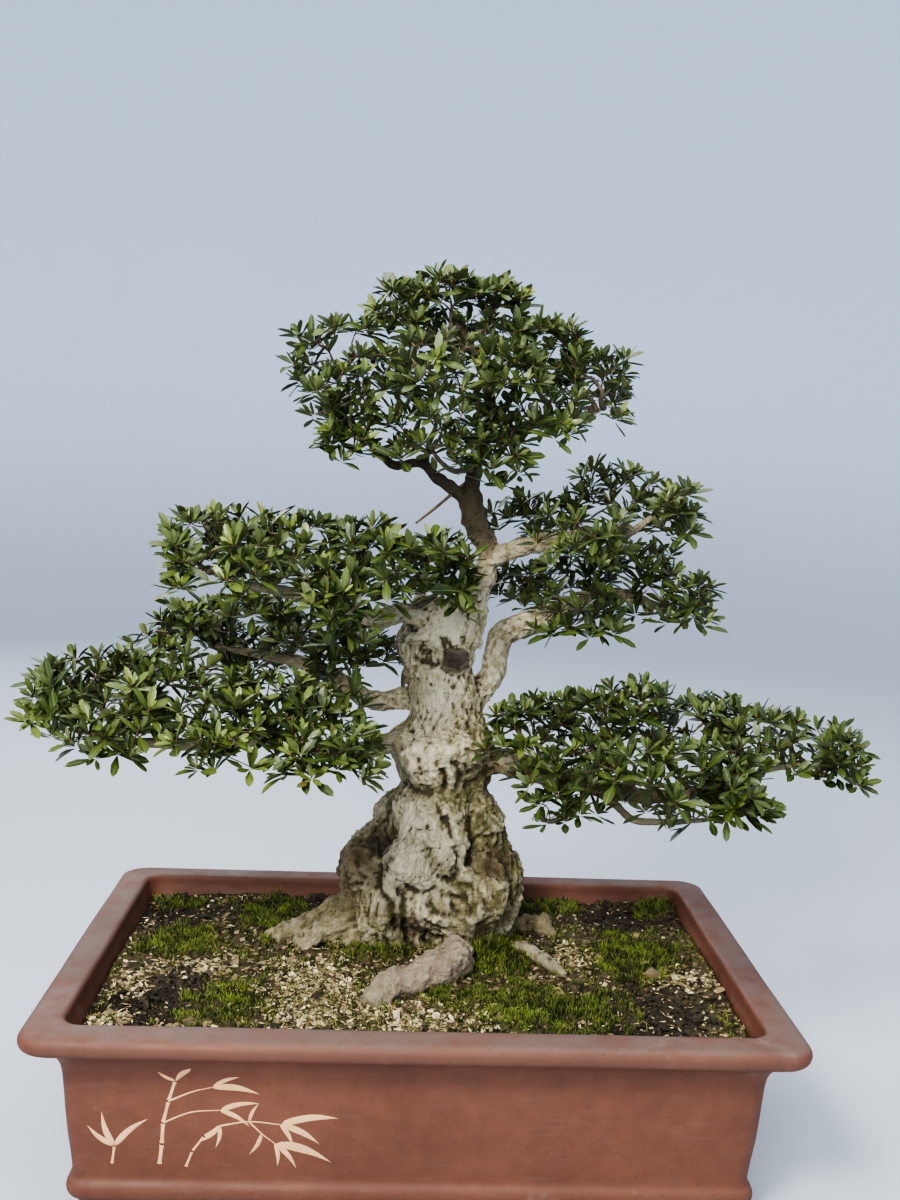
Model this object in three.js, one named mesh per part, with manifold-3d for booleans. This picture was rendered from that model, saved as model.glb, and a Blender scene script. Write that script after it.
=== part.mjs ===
// A broad-leaved azalea bonsai in a rectangular unglazed stoneware pot.
// Millimetres, +Z up. The origin is on the table, under the middle of the whole plant and pot.

import * as THREE from "three";
import { mergeVertices } from "three/addons/utils/BufferGeometryUtils.js";
import Module from "manifold-3d";

const wasm = await Module();
wasm.setup();

// Driving dimensions of the pot
const POT_LENGTH = 600;
const POT_WIDTH = 400;
const POT_HEIGHT = 160;
const FOOT_HEIGHT = 14;
const FOOT_INSET = 39;
const FOOT_LONG_ARM = 92;
const FOOT_SHORT_ARM = 74;
const FOOT_BREADTH = 26;
const RIM_WIDTH = 30;
const RIM_CORNER_RADIUS = 22;
const INNER_CORNER_RADIUS = 10;
const CORNER_STEPS = 3;
const FLOOR_TOP = 26;
const DRAIN_RADIUS = 14;
const DRAIN_SPACING = 230;

// Driving dimensions of the planting
const POT_CENTRE_X = -28;
const SOIL_TOP = 143;
const CLEARANCE = 0.35;
const PLUG_DEPTH = 55;
const TRUNK_FOOT = { x: 10, y: 72 };
const TRUNK_SIDES = 22;
const TRUNK_LEVELS = 23;
const CUT_SLOPE = 0.28;
const ROOT_SIDES = 6;
const ROOT_STEP = 26;
const SCREEN_SIZE = 44;
const SCREEN_THICKNESS = 1.6;

// Driving dimensions of the leaves
const LEAF_LENGTH = 36;
const LEAF_WIDTH = 15;
const LEAF_RIB = 0.8;
const LEAF_CURL = 1.2;
const LEAF_DROOP = 0.06;
const LEAVES_A_WHORL = 5;
const STEM_RADIUS = 1.9;
const STEM_LENGTH = 30;
const FORK_LENGTH = 5;
const HUB_RADIUS = 2.7;
const SEED = 7;
const TRIES = 30;
const TEST_GROWTH = 0.5;

const vec = (x, y, z) => new THREE.Vector3(x, y, z);
const UP = vec(0, 0, 1);

// A seeded random number in [0, 1), the same on every run.
function seeded(seed) {
  let state = seed;
  return () => {
    state = (state + 0x6d2b79f5) | 0;
    let t = Math.imul(state ^ (state >>> 15), 1 | state);
    t = (t + Math.imul(t ^ (t >>> 7), 61 | t)) ^ t;
    return ((t ^ (t >>> 14)) >>> 0) / 4294967296;
  };
}

// A solid from a list of points and a list of corner triples that face out.
function solidFrom(points, triangles) {
  const vertProperties = new Float32Array(points.length * 3);
  points.forEach((p, i) => p.toArray(vertProperties, 3 * i));
  const triVerts = new Uint32Array(triangles.flat());
  return new wasm.Manifold(new wasm.Mesh({ numProp: 3, vertProperties, triVerts }));
}

// A solid from one of three's closed geometries.
function solidOf(geometry) {
  geometry.deleteAttribute("normal");
  geometry.deleteAttribute("uv");
  const merged = mergeVertices(geometry, 1e-4);
  const vertProperties = new Float32Array(merged.attributes.position.array);
  const triVerts = new Uint32Array(merged.index.array);
  return new wasm.Manifold(new wasm.Mesh({ numProp: 3, vertProperties, triVerts }));
}

// The faces of a solid as one of three's geometries.
function geometryOf(solid) {
  const mesh = solid.getMesh();
  const positions = new Float32Array((mesh.vertProperties.length / mesh.numProp) * 3);
  for (let i = 0; i < positions.length / 3; i += 1) {
    positions[3 * i] = mesh.vertProperties[mesh.numProp * i];
    positions[3 * i + 1] = mesh.vertProperties[mesh.numProp * i + 1];
    positions[3 * i + 2] = mesh.vertProperties[mesh.numProp * i + 2];
  }
  const geometry = new THREE.BufferGeometry();
  geometry.setAttribute("position", new THREE.BufferAttribute(positions, 3));
  geometry.setIndex(new THREE.BufferAttribute(new Uint32Array(mesh.triVerts), 1));
  geometry.computeVertexNormals();
  return geometry;
}

// Closed skin over rings that each run anticlockwise as seen from the last ring.
function loft(rings) {
  const count = rings[0].length;
  const points = rings.flat();
  const triangles = [];
  for (let level = 0; level + 1 < rings.length; level += 1) {
    for (let i = 0; i < count; i += 1) {
      const a = level * count + i;
      const b = level * count + ((i + 1) % count);
      triangles.push([a, b, b + count], [a, b + count, a + count]);
    }
  }
  const last = (rings.length - 1) * count;
  for (let i = 1; i + 1 < count; i += 1) {
    triangles.push([i + 1, i, 0], [last + i, last + i + 1, last]);
  }
  return solidFrom(points, triangles);
}

// Round limb along a smooth curve, thick or thin as its radii say.
function limb(route, radii, sides, step) {
  const curve = new THREE.CatmullRomCurve3(route, false, "centripetal");
  const segments = Math.max(1, Math.round(curve.getLength() / step));
  const frames = curve.computeFrenetFrames(segments, false);
  const rings = [];
  for (let i = 0; i <= segments; i += 1) {
    const u = i / segments;
    const centre = curve.getPointAt(u);
    const at = u * (radii.length - 1);
    const k = Math.min(Math.floor(at), radii.length - 2);
    const radius = THREE.MathUtils.lerp(radii[k], radii[k + 1], at - k);
    const ring = [];
    for (let j = 0; j < sides; j += 1) {
      const angle = (2 * Math.PI * j) / sides;
      const across = frames.normals[i].clone().multiplyScalar(Math.cos(angle));
      across.addScaledVector(frames.binormals[i], Math.sin(angle));
      ring.push(centre.clone().addScaledVector(across, radius));
    }
    rings.push(ring);
  }
  return loft(rings);
}

// Rectangle with round corners at one level, as a ring of points.
function roundedRectangle(halfLength, halfWidth, radius, z, cornerSteps, sideSteps) {
  const ring = [];
  const corners = [[1, 1], [-1, 1], [-1, -1], [1, -1]];
  corners.forEach(([sx, sy], quarter) => {
    const cx = sx * (halfLength - radius);
    const cy = sy * (halfWidth - radius);
    for (let i = 0; i <= cornerSteps; i += 1) {
      const angle = (quarter + i / cornerSteps) * (Math.PI / 2);
      ring.push(vec(cx + radius * Math.cos(angle), cy + radius * Math.sin(angle), z));
    }
    const [nx, ny] = corners[(quarter + 1) % 4];
    const from = ring.at(-1);
    const angle = (quarter + 1) * (Math.PI / 2);
    const to = vec(
      nx * (halfLength - radius) + radius * Math.cos(angle),
      ny * (halfWidth - radius) + radius * Math.sin(angle),
      z,
    );
    const inner = sideSteps[quarter % 2];
    for (let i = 1; i <= inner; i += 1) {
      ring.push(from.clone().lerp(to, i / (inner + 1)));
    }
  });
  return ring;
}

// The pot's wall as [inset from the rim's edge, height], up the outside and down the inside.
const WALL_OUTSIDE = [
  [42, FOOT_HEIGHT], [35, 15.5], [32, 19], [31, 24.5], [32, 29], [34.5, 32], [35, 34.5],
  [31.5, 70], [28.5, 108], [27, 122], [23, 132], [17, 139], [11, 143], [4, 145], [0.9, 148.5],
  [0, 153], [0.9, 157], [4, 159.4], [8, POT_HEIGHT],
];
const WALL_INSIDE = [
  [RIM_WIDTH - 4, POT_HEIGHT], [RIM_WIDTH - 1, 159], [RIM_WIDTH, 156.5], [32, 148], [38, 132],
  [40, 112], [46, 31], [54, FLOOR_TOP],
];

// The pot's outline at one level, inset from the rim's edge.
function potRing(inset, z, radius, cornerSteps, sideSteps) {
  return roundedRectangle(
    POT_LENGTH / 2 - inset, POT_WIDTH / 2 - inset, radius, z, cornerSteps, sideSteps);
}

// One bracket foot, an L that follows the corner of the pot's base on the given side of x and y.
function bracketFoot(sx, sy) {
  const bend = 12;
  const round = [0, 1, 2, 3].map((i) => {
    const angle = (i / 3) * (Math.PI / 2);
    return [bend * (1 - Math.sin(angle)), bend * (1 - Math.cos(angle))];
  });
  const arms = [
    [0, FOOT_SHORT_ARM], [FOOT_BREADTH, FOOT_SHORT_ARM - 10], [FOOT_BREADTH, FOOT_BREADTH],
    [FOOT_LONG_ARM - 10, FOOT_BREADTH], [FOOT_LONG_ARM, 0],
  ];
  const cornerX = POT_LENGTH / 2 - FOOT_INSET;
  const cornerY = POT_WIDTH / 2 - FOOT_INSET;
  const outline = [...round, ...arms].map(([x, y]) =>
    new THREE.Vector2(sx * (cornerX - x), sy * (cornerY - y)));
  return new THREE.ExtrudeGeometry(new THREE.Shape(outline), {
    depth: FOOT_HEIGHT + 3, bevelEnabled: false,
  });
}

// The middles of the two drain holes.
function drainCentres() {
  return [-1, 1].map((side) => vec((side * DRAIN_SPACING) / 2, 0, 0));
}

// The pot in one skin, with its four bracket feet and two drain holes.
function makePot() {
  const plain = [0, 0];
  const outside = WALL_OUTSIDE.map(([inset, z]) =>
    potRing(inset, z, RIM_CORNER_RADIUS - 0.25 * inset, CORNER_STEPS, plain));
  const inside = WALL_INSIDE.map(([inset, z]) =>
    potRing(inset, z, INNER_CORNER_RADIUS, CORNER_STEPS, plain));
  let pot = loft([...outside, ...inside]);
  for (const [sx, sy] of [[1, 1], [-1, 1], [-1, -1], [1, -1]]) {
    pot = pot.add(solidOf(bracketFoot(sx, sy)));
  }
  for (const centre of drainCentres()) {
    const hole = new THREE.CylinderGeometry(DRAIN_RADIUS, DRAIN_RADIUS, 60, 12);
    hole.rotateX(Math.PI / 2);
    hole.translate(centre.x, centre.y, FLOOR_TOP - 10);
    pot = pot.subtract(solidOf(hole));
  }
  return pot;
}

// Screen over a drain hole, a square plate with four square openings.
function makeScreen(centre) {
  const plate = new THREE.BoxGeometry(SCREEN_SIZE, SCREEN_SIZE, SCREEN_THICKNESS);
  const base = FLOOR_TOP + CLEARANCE + SCREEN_THICKNESS / 2;
  plate.translate(centre.x, centre.y, base);
  let screen = solidOf(plate);
  for (const dx of [-1, 1]) {
    for (const dy of [-1, 1]) {
      const cut = new THREE.BoxGeometry(8, 8, 10);
      cut.translate(centre.x + 5.5 * dx, centre.y + 5.5 * dy, base);
      screen = screen.subtract(solidOf(cut));
    }
  }
  return screen;
}

// The soil's outside, as [inset from the rim's edge, height], and the rings of its top.
const SOIL_GAP = 0.4;
const SOIL_WALL = [
  [54, FLOOR_TOP + SOIL_GAP], [46, 31], [40, 112], [38, 132], [34.8, 140],
];
const SOIL_RINGS = [0.94, 0.8, 0.62, 0.42, 0.2];
const SOIL_SIDE_STEPS = [3, 2];

// Height of the soil, level under the roots and gently uneven towards the pot's ends.
function soilHeight(x, y) {
  const away = Math.hypot(x / 185, (y - 40) / 160);
  const blend = THREE.MathUtils.smoothstep(away, 1, 1.5);
  return SOIL_TOP - 1.5 * blend + 2.2 * blend * (Math.sin(x / 31) + Math.cos(y / 37));
}

// The woody plug under the trunk, which the soil's plain hole follows.
function plug(grow) {
  const rings = [SOIL_TOP - PLUG_DEPTH - grow, SOIL_TOP + 10].map((z, k) => {
    const rx = 42 + 6 * k + grow;
    const ry = 32 + 4 * k + grow;
    return Array.from({ length: 14 }, (_, i) => {
      const angle = (2 * Math.PI * i) / 14;
      return vec(TRUNK_FOOT.x + rx * Math.cos(angle), TRUNK_FOOT.y + ry * Math.sin(angle), z);
    });
  });
  return loft(rings);
}

// The soil fills the pot from its floor to a little under the rim, round the plug.
function makeSoil() {
  const rings = SOIL_WALL.map(([inset, z]) =>
    potRing(inset + SOIL_GAP, z, INNER_CORNER_RADIUS, CORNER_STEPS, SOIL_SIDE_STEPS));
  const rim = rings.at(-1);
  for (const scale of SOIL_RINGS) {
    rings.push(rim.map((p) => {
      const x = p.x * scale;
      const y = p.y * scale;
      return vec(x, y, soilHeight(x, y));
    }));
  }
  let soil = loft(rings).subtract(plug(CLEARANCE));
  for (const centre of drainCentres()) {
    const size = SCREEN_SIZE + 2 * CLEARANCE;
    const recess = new THREE.BoxGeometry(size, size, 2 * (SCREEN_THICKNESS + 2 * CLEARANCE));
    recess.translate(centre.x, centre.y, FLOOR_TOP);
    soil = soil.subtract(solidOf(recess));
  }
  return soil;
}

// The trunk's outline as [height, middle x, half breadth, half depth].
const TRUNK_ROWS = [
  [134, 9, 82, 50], [160, 10, 83, 53], [185, 11, 82, 52], [213, 12, 80, 51], [232, 9, 73, 48],
  [248, 15, 60, 44], [271, 16, 53, 40], [287, 21, 40, 34], [300, 22, 43, 36], [322, 18, 48, 40],
  [336, 17, 47, 38], [352, 21, 35, 31], [379, 18, 33, 28], [400, 12, 32, 28], [421, 11, 35, 29],
  [446, 16, 33, 27], [460, 16, 27, 23],
];

// Burls stand out of the bark and hollows go in: [azimuth, height, spread, relief].
const BURLS = [
  [-95, 236, 27, 9], [-38, 200, 20, 11], [-52, 178, 17, 8], [-150, 214, 19, 10], [-70, 208, 14, -7],
  [-84, 150, 15, -17], [-122, 326, 18, 8], [-42, 334, 17, 7], [-64, 300, 14, -6], [-108, 414, 13, -8],
  [-70, 408, 11, 7], [60, 220, 28, 11], [118, 184, 24, 12], [95, 312, 20, 9], [100, 410, 17, 7],
  [150, 258, 18, 7], [82, 262, 17, -8], [-124, 178, 16, 8], [-104, 196, 12, -6],
  [-20, 262, 14, 6], [-76, 276, 12, 5], [30, 176, 18, 9],
];

// How far the bark lies from the trunk's middle, on an oval with lobes, burls and hollows.
function trunkRadius(azimuth, height, halfBreadth, halfDepth) {
  const round = 1 / Math.hypot(Math.cos(azimuth) / halfBreadth, Math.sin(azimuth) / halfDepth);
  const flare = THREE.MathUtils.smoothstep(270 - height, 0, 120);
  const side = Math.abs(Math.sin(azimuth));
  const lobes = side * (0.035 + 0.05 * flare) * Math.cos(7 * azimuth + height / 31);
  let relief = 0;
  for (const [degrees, z, spread, rise] of BURLS) {
    const turn = azimuth - THREE.MathUtils.degToRad(degrees);
    const along = round * Math.atan2(Math.sin(turn), Math.cos(turn));
    relief += rise * Math.exp(-(along ** 2 + (height - z) ** 2) / (2 * spread ** 2) * 1.6);
  }
  return round * (1 + lobes) + relief;
}

// The trunk up to the cut top of its old leader, which slopes down to the right.
function makeTrunk() {
  const sides = TRUNK_SIDES;
  const levels = TRUNK_LEVELS;
  const curve = new THREE.CatmullRomCurve3(TRUNK_ROWS.map(([z, x, b]) => vec(x, b, z)));
  const depths = new THREE.CatmullRomCurve3(TRUNK_ROWS.map(([z, , , d]) => vec(0, d, z)));
  const rings = [];
  for (let i = 0; i <= levels; i += 1) {
    const row = curve.getPoint(i / levels);
    const depth = depths.getPoint(i / levels).y;
    const ring = [];
    for (let j = 0; j < sides; j += 1) {
      const azimuth = (2 * Math.PI * j) / sides;
      const radius = trunkRadius(azimuth, row.z, row.y, depth);
      const cutSlope = i === levels ? -CUT_SLOPE * radius * Math.cos(azimuth) : 0;
      ring.push(vec(
        row.x + radius * Math.cos(azimuth),
        TRUNK_FOOT.y + radius * Math.sin(azimuth),
        row.z + cutSlope,
      ));
    }
    rings.push(ring);
  }
  return loft(rings);
}

// The limbs as routes and radii from where they leave the trunk to their tips.
const LIMBS = {
  leader: {
    route: [[28, 72, 428], [43, 71, 470], [53, 70, 490], [53, 70, 514], [43, 70, 532], [34, 70, 561]],
    radii: [24, 19, 11.5, 9.5, 12, 10.5], sides: 9, step: 15,
  },
  crown_stem: {
    route: [[34, 70, 553], [39, 66, 593], [43, 60, 613], [49, 58, 638], [42, 60, 673], [20, 60, 710]],
    radii: [9, 7, 6.5, 5.5, 4, 2.6], sides: 6, step: 24,
  },
  crown_left: {
    route: [[32, 70, 557], [2, 60, 577], [-10, 54, 588], [-37, 46, 586], [-55, 42, 604], [-84, 35, 624]],
    radii: [7, 5.5, 4.5, 4, 3.2, 2.2], sides: 5, step: 19,
  },
  crown_right: {
    route: [[43, 61, 612], [64, 55, 617], [85, 55, 626], [126, 58, 632], [152, 60, 644]],
    radii: [6, 5.5, 5, 3.8, 2.2], sides: 5, step: 22,
  },
  crown_back: {
    route: [[42, 64, 618], [44, 95, 636], [40, 130, 656], [58, 150, 678]],
    radii: [5.5, 4.5, 3.5, 2.2], sides: 5, step: 24,
  },
  left_upper: {
    route: [[14, 66, 444], [-25, 45, 453], [-45, 33, 448], [-64, 23, 451], [-110, 5, 470],
      [-162, 0, 479], [-196, -5, 492]],
    radii: [13, 10, 9.5, 8, 5.5, 4, 2.4], sides: 6, step: 23,
  },
  left_middle: {
    route: [[10, 75, 370], [-18, 82, 368], [-48, 97, 362], [-76, 117, 373], [-120, 130, 391],
      [-180, 138, 399], [-206, 138, 405]],
    radii: [11, 8.5, 7.5, 7, 5.2, 4, 2.6], sides: 6, step: 24,
  },
  left_lower: {
    route: [[5, 66, 332], [-24, 54, 332], [-57, 30, 329], [-104, 5, 338], [-127, 0, 347],
      [-165, -10, 341], [-254, -25, 344], [-292, -29, 352]],
    radii: [11, 8.5, 7.5, 6.5, 6, 5.4, 4, 2.3], sides: 6, step: 25,
  },
  right_upper: {
    route: [[48, 70, 494], [63, 65, 506], [83, 55, 516], [123, 50, 525], [150, 61, 531],
      [182, 70, 531], [206, 80, 546]],
    radii: [9, 9, 8.5, 6.5, 5.5, 4.4, 2.6], sides: 6, step: 22,
  },
  right_middle: {
    route: [[40, 79, 360], [64, 85, 396], [67, 91, 417], [74, 97, 430], [118, 110, 446],
      [150, 120, 460], [190, 130, 467], [246, 130, 451]],
    radii: [12, 10, 9.5, 10, 9, 7, 5, 2.6], sides: 6, step: 21,
  },
  right_lower: {
    route: [[46, 68, 313], [70, 55, 317], [94, 45, 313], [162, 30, 302], [208, 28, 294],
      [254, 29, 301], [310, 30, 320], [346, 29, 328]],
    radii: [14, 12.5, 11, 8, 6.8, 5.6, 3.5, 2.3], sides: 6, step: 27,
  },
  right_lower_twig: {
    route: [[150, 31, 303], [172, 16, 291], [190, 8, 278], [226, 4, 278], [262, 4, 281]],
    radii: [4.5, 4, 3.6, 3, 2.2], sides: 4, step: 26,
  },
  right_lower_spur: {
    route: [[152, 28, 301], [136, 12, 284], [116, 5, 275], [101, 1, 282]],
    radii: [4, 3.4, 2.8, 2], sides: 4, step: 24,
  },
};

// Surface roots as routes and radii from under the trunk to where they go into the soil.
const ROOTS = {
  left: {
    route: [[-28, 70, 176], [-66, 58, 168], [-97, 46, 157], [-118, 44, 149], [-134, 44, 144]],
    radii: [34, 27, 18, 11, 5],
  },
  left_foot: {
    route: [[-36, 60, 160], [-56, 42, 152], [-66, 32, 144]],
    radii: [18, 11, 5],
  },
  front: {
    route: [[20, 36, 157], [33, 4, 157], [27, -34, 155], [3, -58, 153], [-24, -68, 151], [-43, -92, 146]],
    radii: [14, 16, 16, 15, 13, 7.5],
  },
  right_knob: {
    route: [[62, 84, 152], [92, 92, 150], [112, 88, 150], [134, 72, 144]],
    radii: [16, 9, 9, 4],
  },
  right_pale: {
    route: [[64, 66, 150], [90, 42, 148], [108, 12, 148], [127, -20, 144]],
    radii: [12, 7, 7, 4],
  },
  back_left: {
    route: [[-30, 100, 156], [-62, 122, 152], [-86, 136, 145]],
    radii: [18, 11, 5],
  },
  back_right: {
    route: [[48, 106, 156], [76, 128, 152], [98, 142, 145]],
    radii: [17, 11, 5],
  },
};

// Leafy sprays: the middle of each one's leaves, by the limb that carries it.
const SPRAYS = {
  crown_left: [[-94, 36, 684], [-90, 10, 644], [-60, 16, 612], [-50, 92, 668]],
  crown_stem: [
    [-40, 56, 716], [0, 44, 730], [48, 52, 722], [-8, -8, 668], [44, -12, 664], [-14, 2, 608],
    [38, 8, 600], [4, 112, 706],
  ],
  crown_right: [[98, 40, 698], [140, 56, 668], [96, 22, 628]],
  crown_back: [[60, 132, 694]],
  left_upper: [
    [-204, -10, 504], [-176, 40, 516], [-144, -52, 496], [-112, 0, 520], [-84, -66, 480],
    [-54, -28, 518], [10, -12, 500],
  ],
  left_middle: [
    [-222, 112, 428], [-172, 140, 428], [-120, 104, 414], [-72, 86, 404], [-170, 154, 384],
  ],
  left_lower: [
    [-320, -24, 380], [-288, 26, 382], [-256, -68, 364], [-228, -28, 386], [-184, -84, 366],
    [-138, -44, 378], [-88, -14, 364], [-86, -86, 346],
  ],
  right_upper: [[172, 88, 566], [222, 80, 546], [112, 92, 536], [146, 24, 520]],
  right_middle: [[92, 140, 468], [154, 144, 482], [206, 122, 482], [246, 110, 458], [150, 84, 446]],
  right_lower: [
    [98, 46, 352], [160, 84, 348], [128, 2, 316], [196, 28, 372], [188, -54, 338], [264, 74, 358],
    [250, -26, 334], [314, 40, 348], [380, 20, 334],
  ],
  right_lower_twig: [[284, 2, 292]],
};

// Sprays in the thick pads have a third side shoot, under or over the others.
const THICK_PADS = ["left_upper", "left_lower", "right_lower"];

function vectors(points) {
  return points.map(([x, y, z]) => vec(x, y, z));
}

// Where a branchlet leaves its limb and where its spray takes over from it.
function branchletEnds(limbName, middle) {
  const curve = new THREE.CatmullRomCurve3(vectors(LIMBS[limbName].route), false, "centripetal");
  let best = 0.3;
  let least = Infinity;
  for (let t = 0.3; t <= 1; t += 0.01) {
    const distance = curve.getPointAt(t).distanceTo(middle);
    if (distance < least) {
      least = distance;
      best = t;
    }
  }
  const setBack = (0.35 * least) / curve.getLength();
  const root = curve.getPointAt(Math.max(0.25, best - setBack));
  const out = middle.clone().sub(root);
  const rise = vec(0, 0, 0.35 * out.length());
  const heading = out.clone().add(rise).normalize();
  const reach = Math.min(0.8 * STEM_LENGTH, 0.5 * out.length());
  const tip = middle.clone().addScaledVector(heading, -reach);
  return { root, tip, heading };
}

// The twig from a limb to the foot of its spray, which sags a little on the way.
function makeBranchlet({ root, tip, heading }) {
  const sag = root.distanceTo(tip) * 0.16;
  const bend = root.clone().lerp(tip, 0.55).add(vec(0, 0, -sag));
  const before = tip.clone().addScaledVector(heading, -6);
  const route = [root, bend, before, tip];
  return limb(route, [3.4, 2.8, 2.4, STEM_RADIUS], 3, 0.5 * root.distanceTo(tip));
}

// A solid's outside alone, with any hollow that its parts close off between them filled.
function outerSkin(solid) {
  return solid.decompose().reduce((a, b) => (a.volume() > b.volume() ? a : b));
}

// The trunk, limbs, roots and twigs grown as one, down to the plug in the soil.
function makeTree(branchlets) {
  let tree = makeTrunk();
  for (const { route, radii, sides, step } of Object.values(LIMBS)) {
    tree = tree.add(limb(vectors(route), radii, sides, step));
  }
  for (const { route, radii } of Object.values(ROOTS)) {
    tree = tree.add(limb(vectors(route), radii, ROOT_SIDES, ROOT_STEP));
  }
  for (const ends of branchlets) {
    tree = tree.add(makeBranchlet(ends));
  }
  const cutStub = limb(vectors([[32, 72, 418], [27, 39, 411]]), [12.5, 10], 7, 40);
  const ground = new THREE.BoxGeometry(500, 500, 60);
  ground.translate(0, 0, SOIL_TOP + CLEARANCE - 30);
  return outerSkin(tree.add(cutStub).subtract(solidOf(ground)).add(plug(0)));
}

// Directions round an axis, with its quarter turn as near the guide as the axis allows.
function frameOf(axis, guide) {
  const side = guide.clone().cross(axis).normalize();
  const top = axis.clone().cross(side);
  return (angle) => side.clone().multiplyScalar(Math.cos(angle)).addScaledVector(top, Math.sin(angle));
}

// Adds a five-cornered ring to a list of points and gives the corners' numbers.
function addRing(points, centre, flat, turn, radius) {
  return Array.from({ length: LEAVES_A_WHORL }, (_, i) => {
    const angle = turn + ((i - 0.5) * 2 * Math.PI) / LEAVES_A_WHORL;
    return points.push(centre.clone().addScaledVector(flat(angle), radius)) - 1;
  });
}

// Joins a loop of corners to the next loop along, which may have more of them.
function bridge(triangles, lower, upper) {
  let i = 0;
  let j = 0;
  while (i < lower.length || j < upper.length) {
    const a = lower[i % lower.length];
    const b = upper[j % upper.length];
    if (j >= upper.length || (i < lower.length && i / lower.length <= j / upper.length)) {
      triangles.push([a, lower[(i + 1) % lower.length], b]);
      i += 1;
    } else {
      triangles.push([a, upper[(j + 1) % upper.length], b]);
      j += 1;
    }
  }
}

// Adds the leaves of one whorl to the ring of corners at a shoot's end. grow thickens them.
function addWhorl(points, triangles, ring, { end, axis, guide, turn, tilt, length }, grow) {
  const flat = frameOf(axis, guide);
  const top = points.push(end.clone().addScaledVector(axis, 2.2 + grow)) - 1;
  ring.forEach((a, i) => {
    const b = ring[(i + 1) % ring.length];
    const across = flat(turn + (2 * Math.PI * i) / ring.length);
    const lean = tilt + 0.12 * Math.cos(5 * turn + 2.4 * i);
    const along = across.clone().multiplyScalar(Math.sin(lean)).addScaledVector(axis, Math.cos(lean));
    const upward = axis.clone().multiplyScalar(Math.sin(lean)).addScaledVector(across, -Math.cos(lean));
    const edge = upward.clone().cross(along);
    const reach = length * (0.9 + 0.1 * Math.sin(3 * turn + 1.9 * i));
    const spot = (l, w, h) => points.push(end.clone().addScaledVector(along, l)
      .addScaledVector(edge, w).addScaledVector(upward, h)) - 1;
    const widest = 0.56 * reach;
    const left = spot(widest, -LEAF_WIDTH / 2 - grow, LEAF_CURL);
    const tip = spot(reach + grow, 0, -LEAF_DROOP * reach - grow);
    const right = spot(widest, LEAF_WIDTH / 2 + grow, LEAF_CURL);
    const rib = spot(0.5 * reach, 0, LEAF_RIB + grow);
    triangles.push([rib, a, left], [rib, left, tip], [rib, tip, right], [rib, right, b]);
    triangles.push([rib, b, top], [rib, top, a]);
    triangles.push([a, tip, left], [a, b, tip], [b, right, tip]);
  });
}

// One shoot by itself, a little thicker than it is made, to test its place.
function shootTest(shoot, from) {
  const points = [];
  const triangles = [];
  const grow = TEST_GROWTH;
  const foot = shoot.start.clone().lerp(shoot.end, from);
  const cut = from === 0 ? shoot.heading : shoot.axis;
  const lower = addRing(points, foot, frameOf(cut, shoot.guide), shoot.turn, shoot.thick + grow);
  const flat = frameOf(shoot.axis, shoot.guide);
  const upper = addRing(points, shoot.end, flat, shoot.turn, HUB_RADIUS + grow);
  triangles.push([lower[2], lower[1], lower[0]], [lower[3], lower[2], lower[0]]);
  triangles.push([lower[4], lower[3], lower[0]]);
  bridge(triangles, lower, upper);
  addWhorl(points, triangles, upper, shoot, grow);
  return solidFrom(points, triangles);
}

// True where a solid shares some space with another of a list.
function meets(solid, others) {
  const box = solid.boundingBox();
  return others.some((other) => {
    const apart = [0, 1, 2].some((k) => box.min[k] > other.box.max[k] || box.max[k] < other.box.min[k]);
    return !apart && !solid.intersect(other.solid).isEmpty();
  });
}

// Finds a clear place for one shoot of a spray, among tries that stray further and further.
function placeShoot({ start, heading, guide, thick }, random, placed, sisters) {
  const jitter = (size) => vec(random() - 0.5, random() - 0.5, random() - 0.5).multiplyScalar(size);
  for (let attempt = 0; attempt < TRIES; attempt += 1) {
    const slack = 0.5 + attempt / TRIES;
    const axis = heading.clone().add(jitter(0.7 * slack)).normalize();
    const reach = STEM_LENGTH * (1.03 - 0.35 * random() * slack);
    const shoot = {
      start,
      heading,
      guide,
      axis,
      thick,
      end: start.clone().addScaledVector(axis, reach),
      turn: 2 * Math.PI * random(),
      tilt: 1.08 + 0.3 * (random() - 0.5),
      length: LEAF_LENGTH * (0.92 + 0.16 * random()),
    };
    if (!meets(shootTest(shoot, 0.8), sisters) && !meets(shootTest(shoot, 0), placed)) {
      return shoot;
    }
  }
  return null;
}

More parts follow.
